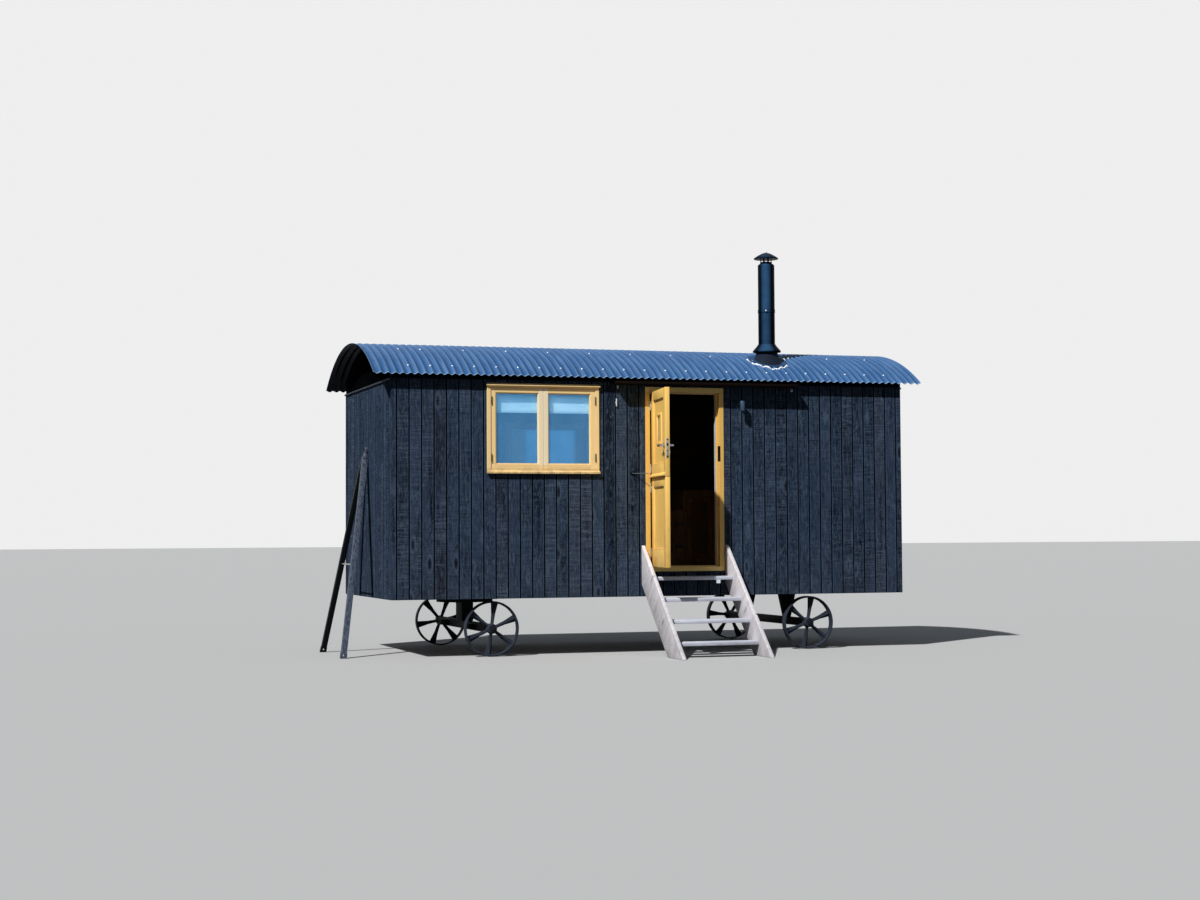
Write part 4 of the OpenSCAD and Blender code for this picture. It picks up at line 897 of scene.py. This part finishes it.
def makeRoof():
    for i in range(1, 7):
        softCopy("roof_sheet_%d" % i, "roof_cover_%d" % i, "roof", 0, 42)
    # one screw with its washer, copied to every place
    high, capHigh, cap = pick(screws, "washerHigh capHigh cap")
    clearSelection()
    bpy.ops.mesh.primitive_cylinder_add(radius=screws["washer"], depth=high, vertices=16,
                                        location=(0, 0, high / 2))
    washer = bevelEdges(applyPlace(bpy.context.object), 0.001)
    clearSelection()
    bpy.ops.mesh.primitive_cone_add(radius1=cap, radius2=cap * screws["capTop"],
                                    depth=capHigh, vertices=12,
                                    location=(0, 0, high + capHigh / 2))
    head = bevelEdges(applyPlace(bpy.context.object), 0.002, 2)
    model = smoothBy(joinAll([washer, head]), 40)
    reach = roof["radius"] + roof["depth"]
    made = []
    for angle, crests in screws["rows"]:
        for side in (-1, 1):
            tilt = math.radians(angle) * side
            for k in crests:
                x, y = roof["start"] + k * roof["pitch"], math.sin(tilt) * reach
                if max(abs(x - flue["x"]), abs(y - flue["y"])) < screws["clear"]:
                    continue
                place = at(x, y, roof["centre"] + math.cos(tilt) * reach - screws["sunk"])
                made.append(copyTo(model, place, Matrix.Rotation(-tilt, 4, "X")))
    bpy.data.objects.remove(model)
    finishPiece(joinAll(made), "roof_screws", "screw")


def roofPoint(x, y, lift):
    wave = roof["depth"] * math.cos(2 * math.pi * (x - roof["start"]) / roof["pitch"])
    radius = roof["radius"] + wave + lift
    return at(x, y, roof["centre"] + math.sqrt(radius * radius - y * y))


clamp = {"ring": 0.0935, "bead": 0.0022, "apart": 0.0135, "lug": (0.088, 0.106, 0.011),
         "bolt": (0.104, 0.112, 0.0075)}
capNut = {"from": 4.275, "to": 4.293, "radius": 0.011}
sealant = {"from": 168, "sweep": 204, "steps": 110, "reach": 0.204, "stretch": 1.24,
           "lift": 0.003, "radius": 0.0095, "uneven": 0.004, "thin": 0.75, "thick": 1.25,
           "waves": ((0.010, 7, 0.6), (0.007, 15, 0)),      # reach, how many, and shift
           "lump": range(3, 12), "lumpSize": 0.7}           # a thicker stretch at its start


def makeFlue():
    softCopy("flue_pipe", "flue_tube", "flue", 0.0008, 25)
    softCopy("flue_cowl", "flue_cap", "flue", 0.0015, 35)
    softCopy("flue_collar", "storm_collar", "flue", 0.0015, 35)
    softCopy("flue_boot", "rubber_boot", "boot", 0, 40)
    # clamp band with its screw, on the side that the photograph shows
    centre = at(flue["x"], flue["y"], flue["joint"])
    side = Vector(flue["side"]).normalized()
    band = [ringBead(centre + Vector((0, 0, z)), clamp["ring"], clamp["bead"], 5)
            for z in (-clamp["apart"], clamp["apart"])]
    lug, bolt = [addRod(centre + side * near, centre + side * far, radius, sides, 0.002, 2)
                 for (near, far, radius), sides in ((clamp["lug"], 16), (clamp["bolt"], 12))]
    finishPiece(joinAll(band + [lug]), "flue_clamp", "flue")
    finishPiece(bolt, "flue_clamp_screw", "screw")
    x, y = flue["x"], flue["y"]
    tip = addRod(at(x, y, capNut["from"]), at(x, y, capNut["to"]), capNut["radius"], 16, 0.004, 3)
    finishPiece(tip, "flue_cap_nut", "screw")
    # wavy bead of sealant round the front of the boot's saddle
    rng = random.Random(21)
    points, sizes = [], []
    for i in range(sealant["steps"] + 1):
        t = math.radians(sealant["from"] + sealant["sweep"] * i / sealant["steps"])
        reach = sealant["reach"] + sum(wave * math.sin(count * t + shift)
                                       for wave, count, shift in sealant["waves"])
        reach += rng.uniform(-sealant["uneven"], sealant["uneven"])
        points.append(roofPoint(x + reach * math.cos(t),
                                y + reach * math.sin(t) * sealant["stretch"], sealant["lift"]))
        sizes.append(rng.uniform(sealant["thin"], sealant["thick"])
                     + sealant["lumpSize"] * (i in sealant["lump"]))
    finishPiece(addBead(points, sealant["radius"], sizes, closed=False), "boot_sealant",
                "sealant")


makeRoof()
makeFlue()
print("roof and flue done")


# Window in the front wall

window = {
    "x0": -1.826, "x1": -0.634, "z0": 1.85, "z1": 2.77, "front": -1.244, "back": -1.12,
    "jamb": 0.040, "rail": 0.045, "ease": 0.003,
    # mouldings: how far they pass the frame's ends, and how far out and up their corners are
    "drip": (0.008, ((0, -0.031), (0.022, -0.027), (0.022, -0.017), (0, -0.003))),
    "nose": (0.004, ((0, 0), (0.020, 0), (0.020, 0.020), (0, 0.032))),
}
casement = {"x0": -1.784, "x1": -0.676, "width": 0.553, "z0": 1.897, "z1": 2.723,
            "front": -1.236, "back": -1.192, "face": 0.050, "bead": 0.009,
            "beadSides": ((-1.229, -1.2175), (-1.2105, -1.199))}


def makeWindow():
    x0, x1, z0, z1, front, back, jamb, rail, ease = pick(
        window, "x0 x1 z0 z1 front back jamb rail ease")
    jambs = boxSet([((x, front, z0 + rail), (x + jamb, back, z1 - rail))
                    for x in (x0, x1 - jamb)], ease)
    finishPiece(jambs, "window_jambs", "windowUp")
    across = [boxSet([((x0, front, z), (x1, back, z + rail)) for z in (z1 - rail, z0)], ease)]
    for kind, z in (("drip", z1), ("nose", z0)):
        past, outline = window[kind]
        across.append(addMoulding(x0 - past, x1 + past, front, z, outline))
    standFor(finishPiece(joinAll(across), "window_head_and_sill", "windowAcross"),
             "window_frame")
    z0, z1, front, back, width, face, bead = pick(casement, "z0 z1 front back width face bead")
    stiles, rails, beads = [], [], []
    for x0 in (casement["x0"], casement["x1"] - width):
        strips = mouldRound(x0, x0 + width, z0, z1, front, back, face)
        stiles += strips[:2]
        rails += strips[2:]
        # glazing beads round each pane
        for sides in casement["beadSides"]:
            beads += mouldRound(x0 + face, x0 + width - face, z0 + face, z1 - face, *sides,
                                bead)
    standFor(finishPiece(boxSet(stiles, ease), "casement_stiles", "windowUp"),
             "window_casements")
    finishPiece(boxSet(rails, ease), "casement_rails", "windowAcross")
    finishPiece(boxSet(beads), "glazing_beads", "windowUp")
    softCopy("window_hinges", "casement_hinges", "brass", 0.001)
    softCopy("back_window", "rear_window", "windowUp", 0.003)


blind = {"y": -1.1754, "top": 2.701, "bottom": 2.497, "x0": -1.774, "x1": -0.686,
         "thick": 0.0007, "squares": (72, 14), "crease": 0.0009,
         # the creases are two waves: turns along, turns down and share
         "waves": ((9.0, 5.0, 1.0), (20.7, -4.0, 0.6))}


def makeBlind():
    # cloth off the roller, with faint creases, down to the bar in its hem
    y, top, bottom, x0, x1 = pick(blind, "y top bottom x0 x1")
    across, down = blind["squares"]
    clearSelection()
    bpy.ops.mesh.primitive_grid_add(x_subdivisions=across, y_subdivisions=down, size=1,
                                    location=at((x0 + x1) / 2, y, (top + bottom) / 2),
                                    rotation=(math.radians(90), 0, 0))
    cloth = bpy.context.object
    cloth.scale = (x1 - x0, top - bottom, 1)
    applyPlace(cloth)
    for vertex in cloth.data.vertices:
        x, drop = vertex.co.x - hutX, (top - vertex.co.z) / (top - bottom)
        wave = sum(share * math.sin(along * x + fall * drop)
                   for along, fall, share in blind["waves"])
        vertex.co.y += blind["crease"] * wave * math.sin(math.pi * min(1, max(0, drop)))
    addModifier(cloth, "SOLIDIFY", thickness=blind["thick"], offset=0)
    standFor(finishPiece(smoothBy(cloth, 60), "blind_cloth", "cloth"), "window_blind")
    softCopy("blind_roller", "blind_tube_and_bar", "blindBar")


makeWindow()
makeBlind()
print("windows done")


# Door frame and the two leaves, drawn closed and then swung open

door = {
    "x0": -0.075, "x1": 0.693, "frame": 0.052, "front": -1.232, "back": -1.12,
    "head": 2.708, "top": 2.76, "sill": 0.886, "floor": 0.841, "stop": 0.012,
    "stopFront": -1.178, "hinge": (-0.075, -1.240, 0), "open": 99, "ease": 0.0025,
}
leaf = {"x0": -0.069, "x1": 0.687, "front": -1.230, "back": -1.184, "stile": 0.096,
        "sunk": 0.014, "set": 0.0004, "tongue": 0.004, "mould": 0.013, "corner": 0.010,
        "mouldSet": 0.003, "ease": 0.0022, "groove": 0.003, "grooveHalf": 0.002,
        "past": 0.01, "dripEnd": 0.004}
# each leaf's lower and upper edge, and the heights of its bottom and top rails
leaves = {"upper": (1.809, 2.702, 0.130, 0.096), "lower": (0.892, 1.803, 0.180, 0.090)}
light = {"x0": 0.209, "x1": 0.409, "z0": 2.165, "z1": 2.435, "face": 0.026, "set": 0.004,
         "bead": 0.008, "beadSet": 0.009, "glass": (-1.2115, -1.2025)}
leafDrip = ((0, 0.004), (0.026, 0.004), (0.026, 0.016), (0.020, 0.026), (0, 0.042))


def swingOpen(obj):
    # Turns a closed leaf's piece about the hinge line
    line = at(*door["hinge"])
    turn = Matrix.Rotation(math.radians(-door["open"]), 4, "Z")
    obj.matrix_world = Matrix.Translation(line) @ turn @ Matrix.Translation(-line)
    return applyPlace(obj)


def makeLightFrame(front, back):
    face, inset, beadSet, glass = pick(light, "face set beadSet glass")
    x0, x1, z0, z1 = pick(light, "x0 x1 z0 z1")
    strips = mouldRound(x0 - face, x1 + face, z0 - face, z1 + face, front + inset,
                        back - inset, face)
    beads = [strip for sides in ((front + beadSet, glass[0]), (glass[1], back - beadSet))
             for strip in mouldRound(x0, x1, z0, z1, *sides, light["bead"])]
    return [boxSet(strips, 0.004, 3), boxSet(beads)]


def makeLeaf(which):
    x0, x1, front, back, stile, sunk, tongue, past, inset, ease = pick(
        leaf, "x0 x1 front back stile sunk tongue past mouldSet ease")
    z0, z1, low, high = leaves[which]
    px0, px1, pz0, pz1 = x0 + stile, x1 - stile, z0 + low, z1 - high
    near, far = front + sunk, back - sunk
    stiles = boxSet([((a, front, z0), (b, back, z1)) for a, b in ((x0, px0), (px1, x1))],
                    door["ease"])
    rails = boxSet([((px0, front + leaf["set"], a), (px1, back - leaf["set"], b))
                    for a, b in ((z0, pz0), (pz1, z1))], door["ease"])
    panel = boxBetween((px0 - tongue, near, pz0 - tongue), (px1 + tongue, far, pz1 + tongue))
    if which == "upper":
        cutAway(panel, [boxBetween((light["x0"], front - past, light["z0"]),
                                   (light["x1"], back + past, light["z1"]))])
        panel = joinAll([panel] + makeLightFrame(front, back))
        # weather moulding that throws the rain off the split between the leaves
        rails = joinAll([rails, addMoulding(x0 + leaf["dripEnd"], x1 - leaf["dripEnd"], front,
                                            z0, leafDrip)])
    else:
        # the lower panel is of three upright boards with a groove between them
        groove, half = pick(leaf, "groove grooveHalf")
        cutAway(panel, [boxBetween((x - half, a, pz0 - past), (x + half, b, pz1 + past))
                        for x in (px0 + (px1 - px0) / 3, px1 - (px1 - px0) / 3)
                        for a, b in ((near - past, near + groove), (far - groove, far + past))])
        bevelEdges(panel, 0.0015)
    strips = [mouldRound(px0, px1, pz0, pz1, *sides, leaf["mould"], leaf["corner"])
              for sides in ((front + inset, near), (far, back - inset))]
    panel = joinAll([panel, boxSet(strips[0][:3] + strips[1][:3], ease)])
    # painted shade: the corner under each top rail is painted dark brown, standing in for the
    # rail's shadow
    corners = boxSet([strips[0][3], strips[1][3]], ease)
    for obj, part, finish in ((stiles, "stiles", "leafUp"), (rails, "rails", "leafAcross"),
                              (panel, "panel", "leafUp"), (corners, "corners", "leafShade")):
        smoothBy(swingOpen(obj), 35)
        finishPiece(obj, "%s_leaf_%s" % (which, part), finish, body=which + "_door")
    standFor(stiles, "door_" + which)


seal = {"proud": 0.0025, "deep": 0.003, "end": 0.014, "wide": 0.006, "inset": 0.002}
keeper = {"plate": 0.0025, "back": -1.195, "lip": 0.012, "z0": 1.99, "z1": 2.15}
lock = {"plate": 0.002, "half": 0.0085, "in": 0.0005, "out": 0.0004,
        "slots": ((2.170, 2.180), (2.110, 2.138), (2.058, 2.066), (1.998, 2.012))}


def makeDoorFrame():
    x0, x1, front, back, head, sill, stop, stopFront, ease = pick(
        door, "x0 x1 front back head sill stop stopFront ease")
    low, high = x0 - door["frame"], x1 + door["frame"]
    stops = mouldRound(x0, x1, sill, head, stopFront, back, stop)
    jambs = [((low, front, sill), (x0, back, head)), ((x1, front, sill), (high, back, head))]
    standFor(finishPiece(boxSet(jambs + stops[:2], ease), "door_jambs", "doorUp"),
             "door_frame")
    across = [((low, front, z0), (high, back, z1))
              for z0, z1 in ((head, door["top"]), (door["floor"], sill))]
    finishPiece(boxSet(across + stops[2:], ease), "door_head_and_sill", "doorAcross")
    # pale weather seals on the stops
    proud, deep, end, wide, inset = pick(seal, "proud deep end wide inset")
    left, right, proudFront = x0 + stop, x1 - stop, stopFront - deep
    seals = [((right - proud, stopFront + inset, sill + end),
              (right, back - 2 * inset, head - end)),
             ((left, proudFront, sill + end), (left - wide, stopFront, head - end)),
             ((left + inset, proudFront, head - stop + inset),
              (right - inset, stopFront, head - stop + inset + wide))]
    finishPiece(boxSet(seals, 0.0008, 1), "weather_seals", "seal")
    # the keeper for the latch, which turns over the jamb's edge
    plate, plateBack, lip, z0, z1 = pick(keeper, "plate back lip z0 z1")
    irons = boxSet([((x1 - plate, front, z0), (x1, plateBack, z1)),
                    ((x1 - plate, front - plate, z0), (x1 + lip, front, z1))], 0.0006, 1)
    finishPiece(irons, "latch_keeper", "trim")
    # painted shade: black marks in the plate on the leaf's edge, where the bolt, the latch and two
    # screws sit
    face, middle = leaf["x1"] + lock["plate"], (leaf["front"] + leaf["back"]) / 2
    slots = boxSet([((face - lock["in"], middle - lock["half"], z0),
                     (face + lock["out"], middle + lock["half"], z1))
                    for z0, z1 in lock["slots"]], 0.0002, 1)
    finishPiece(swingOpen(slots), "lock_slots", "trim", "upper_door")


makeLeaf("upper")
makeLeaf("lower")
makeDoorFrame()
softCopy("door_hinges", "jamb_hinges", "steel", 0.0006)
for leafName in leaves:
    softCopy("door_%s_hinges" % leafName, leafName + "_leaf_hinges", "steel", 0.0006,
             body=leafName + "_door")
softCopy("door_handle", "lever_and_lock", "chrome", 0.0022, 35, 3, "upper_door")
print("door done")


# Fittings on the walls

boardFace = -1.228
stay = {
    "x": -0.262, "z": 1.857, "half": 0.022, "turn": -42, "rod": 0.004, "plateBack": -1.22,
    "plate": -1.2315, "head": (-1.231, -1.2335, 0.0035), "headOut": 0.015,
    "pin": (-1.222, -1.243, 0.005), "rodY": -1.237,
    # the rod from the eye at the pin to the hooked tip: along and up
    "path": ((-0.012, 0.006), (-0.002, 0), (0.01, 0), (0.08, 0), (0.153, 0), (0.165, 0),
             (0.165, -0.014)),
}
hooks = {
    "hangers": ((-0.434, 2.752), (1.516, 2.748)), "wire": 0.0028,
    "ring": (0.022, 0.016, 0.018),        # middle before the boards, reach out and up
    "shank": (0.002, -0.010, 0.0034), "drop": 0.008,
    "cleat": (-0.446, 2.591), "half": 0.006,
    # bar and post of the cleat: nearest and furthest from the boards, half its height
    "blocks": ((-0.020, -0.012, 0.040), (-0.014, 0.002, 0.014)),
}
lamp = {"x": 0.930, "y": -1.305, "z": 2.571, "lens": (0.036, 0.046, 0.0228),
        "rim": (0.0535, 0.0245, 0.0022), "base": (-1.2335, -1.2375, 0.024)}


def rodAt(x, z, ends, sides, *bevel):
    # A round piece that stands straight out of the wall
    near, far, radius = ends
    return addRod(at(x, near, z), at(x, far, z), radius, sides, *bevel)


def makeDoorStay():
    x, z, half, out = pick(stay, "x z half headOut")
    plate = bevelEdges(boxBetween((x - half, stay["plateBack"], z - half),
                                  (x + half, stay["plate"], z + half)), 0.001)
    heads = [rodAt(x + dx, z + dz, stay["head"], 12) for dx in (-out, out) for dz in (-out, out)]
    finishPiece(joinAll([plate] + heads), "door_stay_plate", "trim")
    turn = math.radians(stay["turn"])
    rod = addBead([at(x + along * math.cos(turn), stay["rodY"] + along * math.sin(turn), z + up)
                   for along, up in stay["path"]], stay["rod"], closed=False)
    hook = joinAll([rodAt(x, z, stay["pin"], 16), rod])
    standFor(finishPiece(hook, "door_stay", "hook"), "cabin_hook")


def makeSmallHooks():
    # screw-in hooks under the ends of the hood, and a cleat below the left one
    parts = []
    before, out, up = hooks["ring"]
    near, far, radius = hooks["shank"]
    for x, z in hooks["hangers"]:
        ring = [at(x, boardFace - before - out * math.cos(t), z + up * math.sin(t))
                for t in [math.radians(degrees) for degrees in range(-150, 171, 20)]]
        parts += [addBead(ring, hooks["wire"], closed=False),
                  rodAt(x, z - hooks["drop"], (boardFace + near, boardFace + far, radius), 12)]
    x, z = hooks["cleat"]
    for near, far, high in hooks["blocks"]:
        block = boxBetween((x - hooks["half"], boardFace + near, z - high),
                           (x + hooks["half"], boardFace + far, z + high))
        parts.append(bevelEdges(block, 0.0025, 2))
    finishPiece(joinAll(parts), "small_hooks", "screw")


def makeLamp():
    softCopy("wall_lamp", "lamp_body", "lamp", 0.0015)
    x, y, z = pick(lamp, "x y z")
    near, far, radius = lamp["lens"]
    lenses = [addRod(at(x, y, z + side * near), at(x, y, z + side * far), radius, 32, 0.003, 2)
              for side in (-1, 1)]
    finishPiece(joinAll(lenses), "lamp_lenses", "lens")
    high, reach, radius = lamp["rim"]
    rims = [ringBead(at(x, y, z + side * high), reach, radius, 10) for side in (-1, 1)]
    rims.append(rodAt(x, z, lamp["base"], 32, 0.002, 2))
    finishPiece(joinAll(rims), "lamp_rims", "trim")


makeDoorStay()
makeSmallHooks()
makeLamp()
print("fittings done")


# Steps, undercarriage, drawbar and cupboard

steps = {
    "treads": 4, "top": 0.790, "rise": 0.213, "half": 0.0185, "depth": 0.215,
    "wall": -1.22, "high": 1.120, "run": 1.218, "setBack": 0.141,
    "sides": ((-0.176, -1), (0.794, 1)), "screws": (0.22, 0.78), "lastScrew": -1.23,
    "screw": (-0.002, 0.0012, 0.006),     # both ends from the side board's face, and radius
}
# two plates of the bracket under the top tread
bracket = (((0.570, -1.440, 0.717), (0.614, -1.436, 0.753)),
           ((0.570, -1.436, 0.749), (0.614, -1.396, 0.753)))


def makeSteps():
    softCopy("step_stringers", "step_sides", "stepsUp", 0.004)
    softCopy("step_treads", "step_boards", "stepsAcross", 0.005)
    # countersunk screws through the side boards into the ends of the treads
    heads = []
    near, far, radius = steps["screw"]
    for i in range(steps["treads"]):
        z = steps["top"] - i * steps["rise"] - steps["half"]
        drop = steps["high"] - z - steps["half"]
        front = steps["wall"] - drop * steps["run"] / steps["high"] + steps["setBack"]
        for share in steps["screws"]:
            y = front + steps["depth"] * share
            if y > steps["lastScrew"]:
                continue
            heads += [addRod(at(x + side * near, y, z), at(x + side * far, y, z), radius, 12,
                             0.0008) for x, side in steps["sides"]]
    finishPiece(joinAll(heads), "step_screws", "hook")
    plates = joinAll([boxBetween(*plate) for plate in bracket])
    finishPiece(bevelEdges(plates, 0.001), "step_bracket", "screw")


wheels = {"fore_near": (-1.756, -1.12), "fore_far": (-1.756, 1.12),
          "rear_near": (1.734, -1.12), "rear_far": (1.734, 1.12)}
hub = {"ring": 0.040, "bead": 0.004, "bolts": 0.046, "bolt": 0.0055,
       "boltEnds": (0.020, -0.004), "out": 0.060, "axle": 0.28}


def makeWheels():
    # one hub ring with its bolts, copied to both faces of every wheel
    parts = [ringBead(Vector(), hub["ring"], hub["bead"], 12, (0, 0, 1))]
    for degrees in range(30, 390, 60):
        t = math.radians(degrees)
        x, z = hub["bolts"] * math.cos(t), hub["bolts"] * math.sin(t)
        parts.append(addRod(*[(x, y, z) for y in hub["boltEnds"]], hub["bolt"], 6, 0.001))
    ring = joinAll(parts)
    for name, (x, y) in wheels.items():
        body = "wheel_" + name
        softCopy(body, "cast_" + name, "iron", 0.002, 35, body=body)
        rims = [copyTo(ring, at(x, y + side * hub["out"], hub["axle"]),
                       Matrix.Rotation(0 if side < 0 else math.pi, 4, "Z")) for side in (-1, 1)]
        finishPiece(joinAll(rims), "hub_rings_" + name, "iron", body=body)
    bpy.data.objects.remove(ring)


frameBolts = {"x": (-2.69, -1.936, -1.576, -0.875, 0.025, 0.925, 1.734, 2.69), "y": 0.589,
              "z": (0.655, 0.705), "radius": 0.012, "high": 0.010}


def makeUndercarriage():
    for node, name in (("chassis_rails", "frame_rails"), ("turntable", "steering_rings"),
                       ("chassis_crossmembers", "frame_cross_bars"),
                       ("fore_axle", "front_axle"), ("rear_axle", "back_axle")):
        softCopy(node, name, "chassis", 0.0025)
    # bolts through the rails at the cross bars and the bolsters, modelled once
    clearSelection()
    bpy.ops.mesh.primitive_cylinder_add(radius=frameBolts["radius"], depth=frameBolts["high"],
                                        vertices=6)
    model = bevelEdges(bpy.context.object, 0.0015)
    turn = Matrix.Rotation(math.pi / 2, 4, "X")
    made = [copyTo(model, at(x, y, z), turn) for y in (-frameBolts["y"], frameBolts["y"])
            for x in frameBolts["x"] for z in frameBolts["z"]]
    bpy.data.objects.remove(model)
    finishPiece(joinAll(made), "frame_bolts", "chassis")


cupboard = {
    "front": 0.640, "back": 1.11, "low": (0.640, 0.980, 0.841, 1.486),
    "tall": (0.980, 1.400, 0.841, 1.711), "side": 0.058, "foot": 0.113, "head": 0.063,
    "frame": 0.045, "inner": 0.057, "panel": 0.006, "deep": 0.011,
    "proud": 0.004, "top": 0.022, "nose": 0.012, "past": 0.006,
    "hinges": ((0.940, 1.340), (0.940, 1.085)), "iron": (0.007, 0.0035),
    "knob": (1.062, 1.607),
    # a strap and two plates for each hinge: left and right ends, and half the height
    "irons": ((-0.045, 0.026, 0.011), (-0.052, -0.038, 0.026), (0.020, 0.034, 0.026)),
    # stem and ball of the knob, out from the front
    "turnings": ((-0.003, -0.018, 0.006, 16), (-0.016, -0.030, 0.013, 24)),
}


def makeCupboard():
    softCopy("cupboard", "cupboard_case", "cupboard", 0.003)
    front, edge = cupboard["front"], cupboard["side"]
    inner, panel, nose, past, deep = pick(cupboard, "inner panel nose past deep")
    strips, panels = [], []
    for x0, x1, z0, z1 in (cupboard["low"], cupboard["tall"]):
        a, b, c, d = x0 + edge, x1 - edge, z0 + cupboard["foot"], z1 - cupboard["head"]
        strips += mouldRound(a, b, c, d, front - cupboard["proud"], front + deep,
                             cupboard["frame"])
        strips.append(((x0 - past, front - nose, z1),
                       (x1 + past, cupboard["back"], z1 + cupboard["top"])))
        panels.append(((a + inner, front + panel, c + inner),
                       (b - inner, front + deep, d - inner)))
    finishPiece(boxSet(strips, 0.003), "cupboard_frames", "cupboard")
    finishPiece(boxSet(panels, 0.003), "cupboard_panels", "cupboardDeep")
    out, back = cupboard["iron"]
    irons = [((x + left, front - out, z - high), (x + right, front - back, z + high))
             for x, z in cupboard["hinges"] for left, right, high in cupboard["irons"]]
    finishPiece(boxSet(irons, 0.001), "cupboard_hinges", "hook")
    x, z = cupboard["knob"]
    knob = joinAll([rodAt(x, z, (front + near, front + far, radius), sides)
                    for near, far, radius, sides in cupboard["turnings"]])
    smoothBy(bevelEdges(knob, 0.003, 2), 50)
    finishPiece(knob, "cupboard_knob", "screw")


makeSteps()
makeWheels()
makeUndercarriage()
softCopy("drawbar_legs", "towing_legs", "drawbar", 0.004)
softCopy("drawbar_head", "towing_head", "drawbar", 0.003)
makeCupboard()
print("steps, undercarriage, drawbar and cupboard done")


# CAD nodes that keep their own mesh

kept = {
    "boardsLong": "front_wall_left front_wall_right front_wall_at_door back_wall",
    "boardsEnd": "left_end_wall right_end_wall", "trim": "gable_arches",
    "floorWood": "floor", "ceiling": "roof_deck", "doorGlass": "door_upper_glass",
    "glass": "window_glass", "backGlass": "back_window_glass", "steel": "drawbar_tie",
}
for finishName, nodeNames in kept.items():
    for nodeName in nodeNames.split():
        dress(nodes[nodeName], finishes[finishName])
print("nodes dressed")


# Camera, light and floor

studio = {
    "lens": 58.976, "sensor": 36, "place": (-6.8686, -20.4813, 1.2251),
    "yaw": 0.3137, "pitch": 0.0431, "roll": -0.0055,
    "sunTravel": (1.25, 1.0, -1.65), "sunStrength": 4.5, "sunAngle": 1.2,
    "fill": 0.11, "fillColour": (0.78, 0.92, 1.12), "backdrop": 0.86,
    "floor": (0.46, 0.46, 0.455), "floorBounce": 0.18, "floorSize": 400, "floorLow": -0.002,
}


def seenRays():
    # 1 for what the camera sees, also in gloss and through glass, and 0 for other light
    rays = addNode("LightPath").outputs
    return calc("MAXIMUM", rays["Is Camera Ray"],
                calc("MAXIMUM", rays["Is Glossy Ray"], rays["Is Transmission Ray"]))


def makeCamera():
    cameraData = bpy.data.cameras.new("Camera")
    cameraData.lens = studio["lens"]
    cameraData.sensor_width = studio["sensor"]
    camera = linkNew("Camera", cameraData)
    aim = (Matrix.Rotation(-studio["yaw"], 4, "Z")
           @ Matrix.Rotation(math.pi / 2 + studio["pitch"], 4, "X")
           @ Matrix.Rotation(studio["roll"], 4, "Z"))
    camera.matrix_world = Matrix.Translation(at(*studio["place"])) @ aim
    bpy.context.scene.camera = camera


def makeLight():
    sunData = bpy.data.lights.new("Sun", "SUN")
    sunData.energy = studio["sunStrength"]
    sunData.angle = math.radians(studio["sunAngle"])
    sun = linkNew("Sun", sunData)
    sun.rotation_euler = Vector(studio["sunTravel"]).to_track_quat("-Z", "Y").to_euler()
    world = bpy.data.worlds.new("Studio")
    bpy.context.scene.world = world
    world.use_nodes = True
    startTree(world.node_tree)
    seen = seenRays()
    backdrop = addNode("Background", None, {
        "Color": mixColour(seen, studio["fillColour"], (1, 1, 1)),
        "Strength": mapRange(seen, 0.0, 1.0, studio["fill"], studio["backdrop"])})
    addNode("OutputWorld", None, {"Surface": backdrop.outputs[0]})


def makeFloor():
    clearSelection()
    bpy.ops.mesh.primitive_plane_add(size=studio["floorSize"],
                                     location=(0, 0, studio["floorLow"]))
    floor = applyPlace(bpy.context.object)
    floor.name = "StudioFloor"
    material, shader, place = newFinish("Studio floor", 0.9, 0.1)
    # the floor looks pale, and throws less light up on the hut than a pale floor would
    dim = scaled(studio["floor"], studio["floorBounce"])
    endFinish(shader, mixColour(seenRays(), dim, studio["floor"]))
    dress(floor, material)


makeCamera()
makeLight()
makeFloor()
bpy.context.scene.view_settings.view_transform = "Standard"
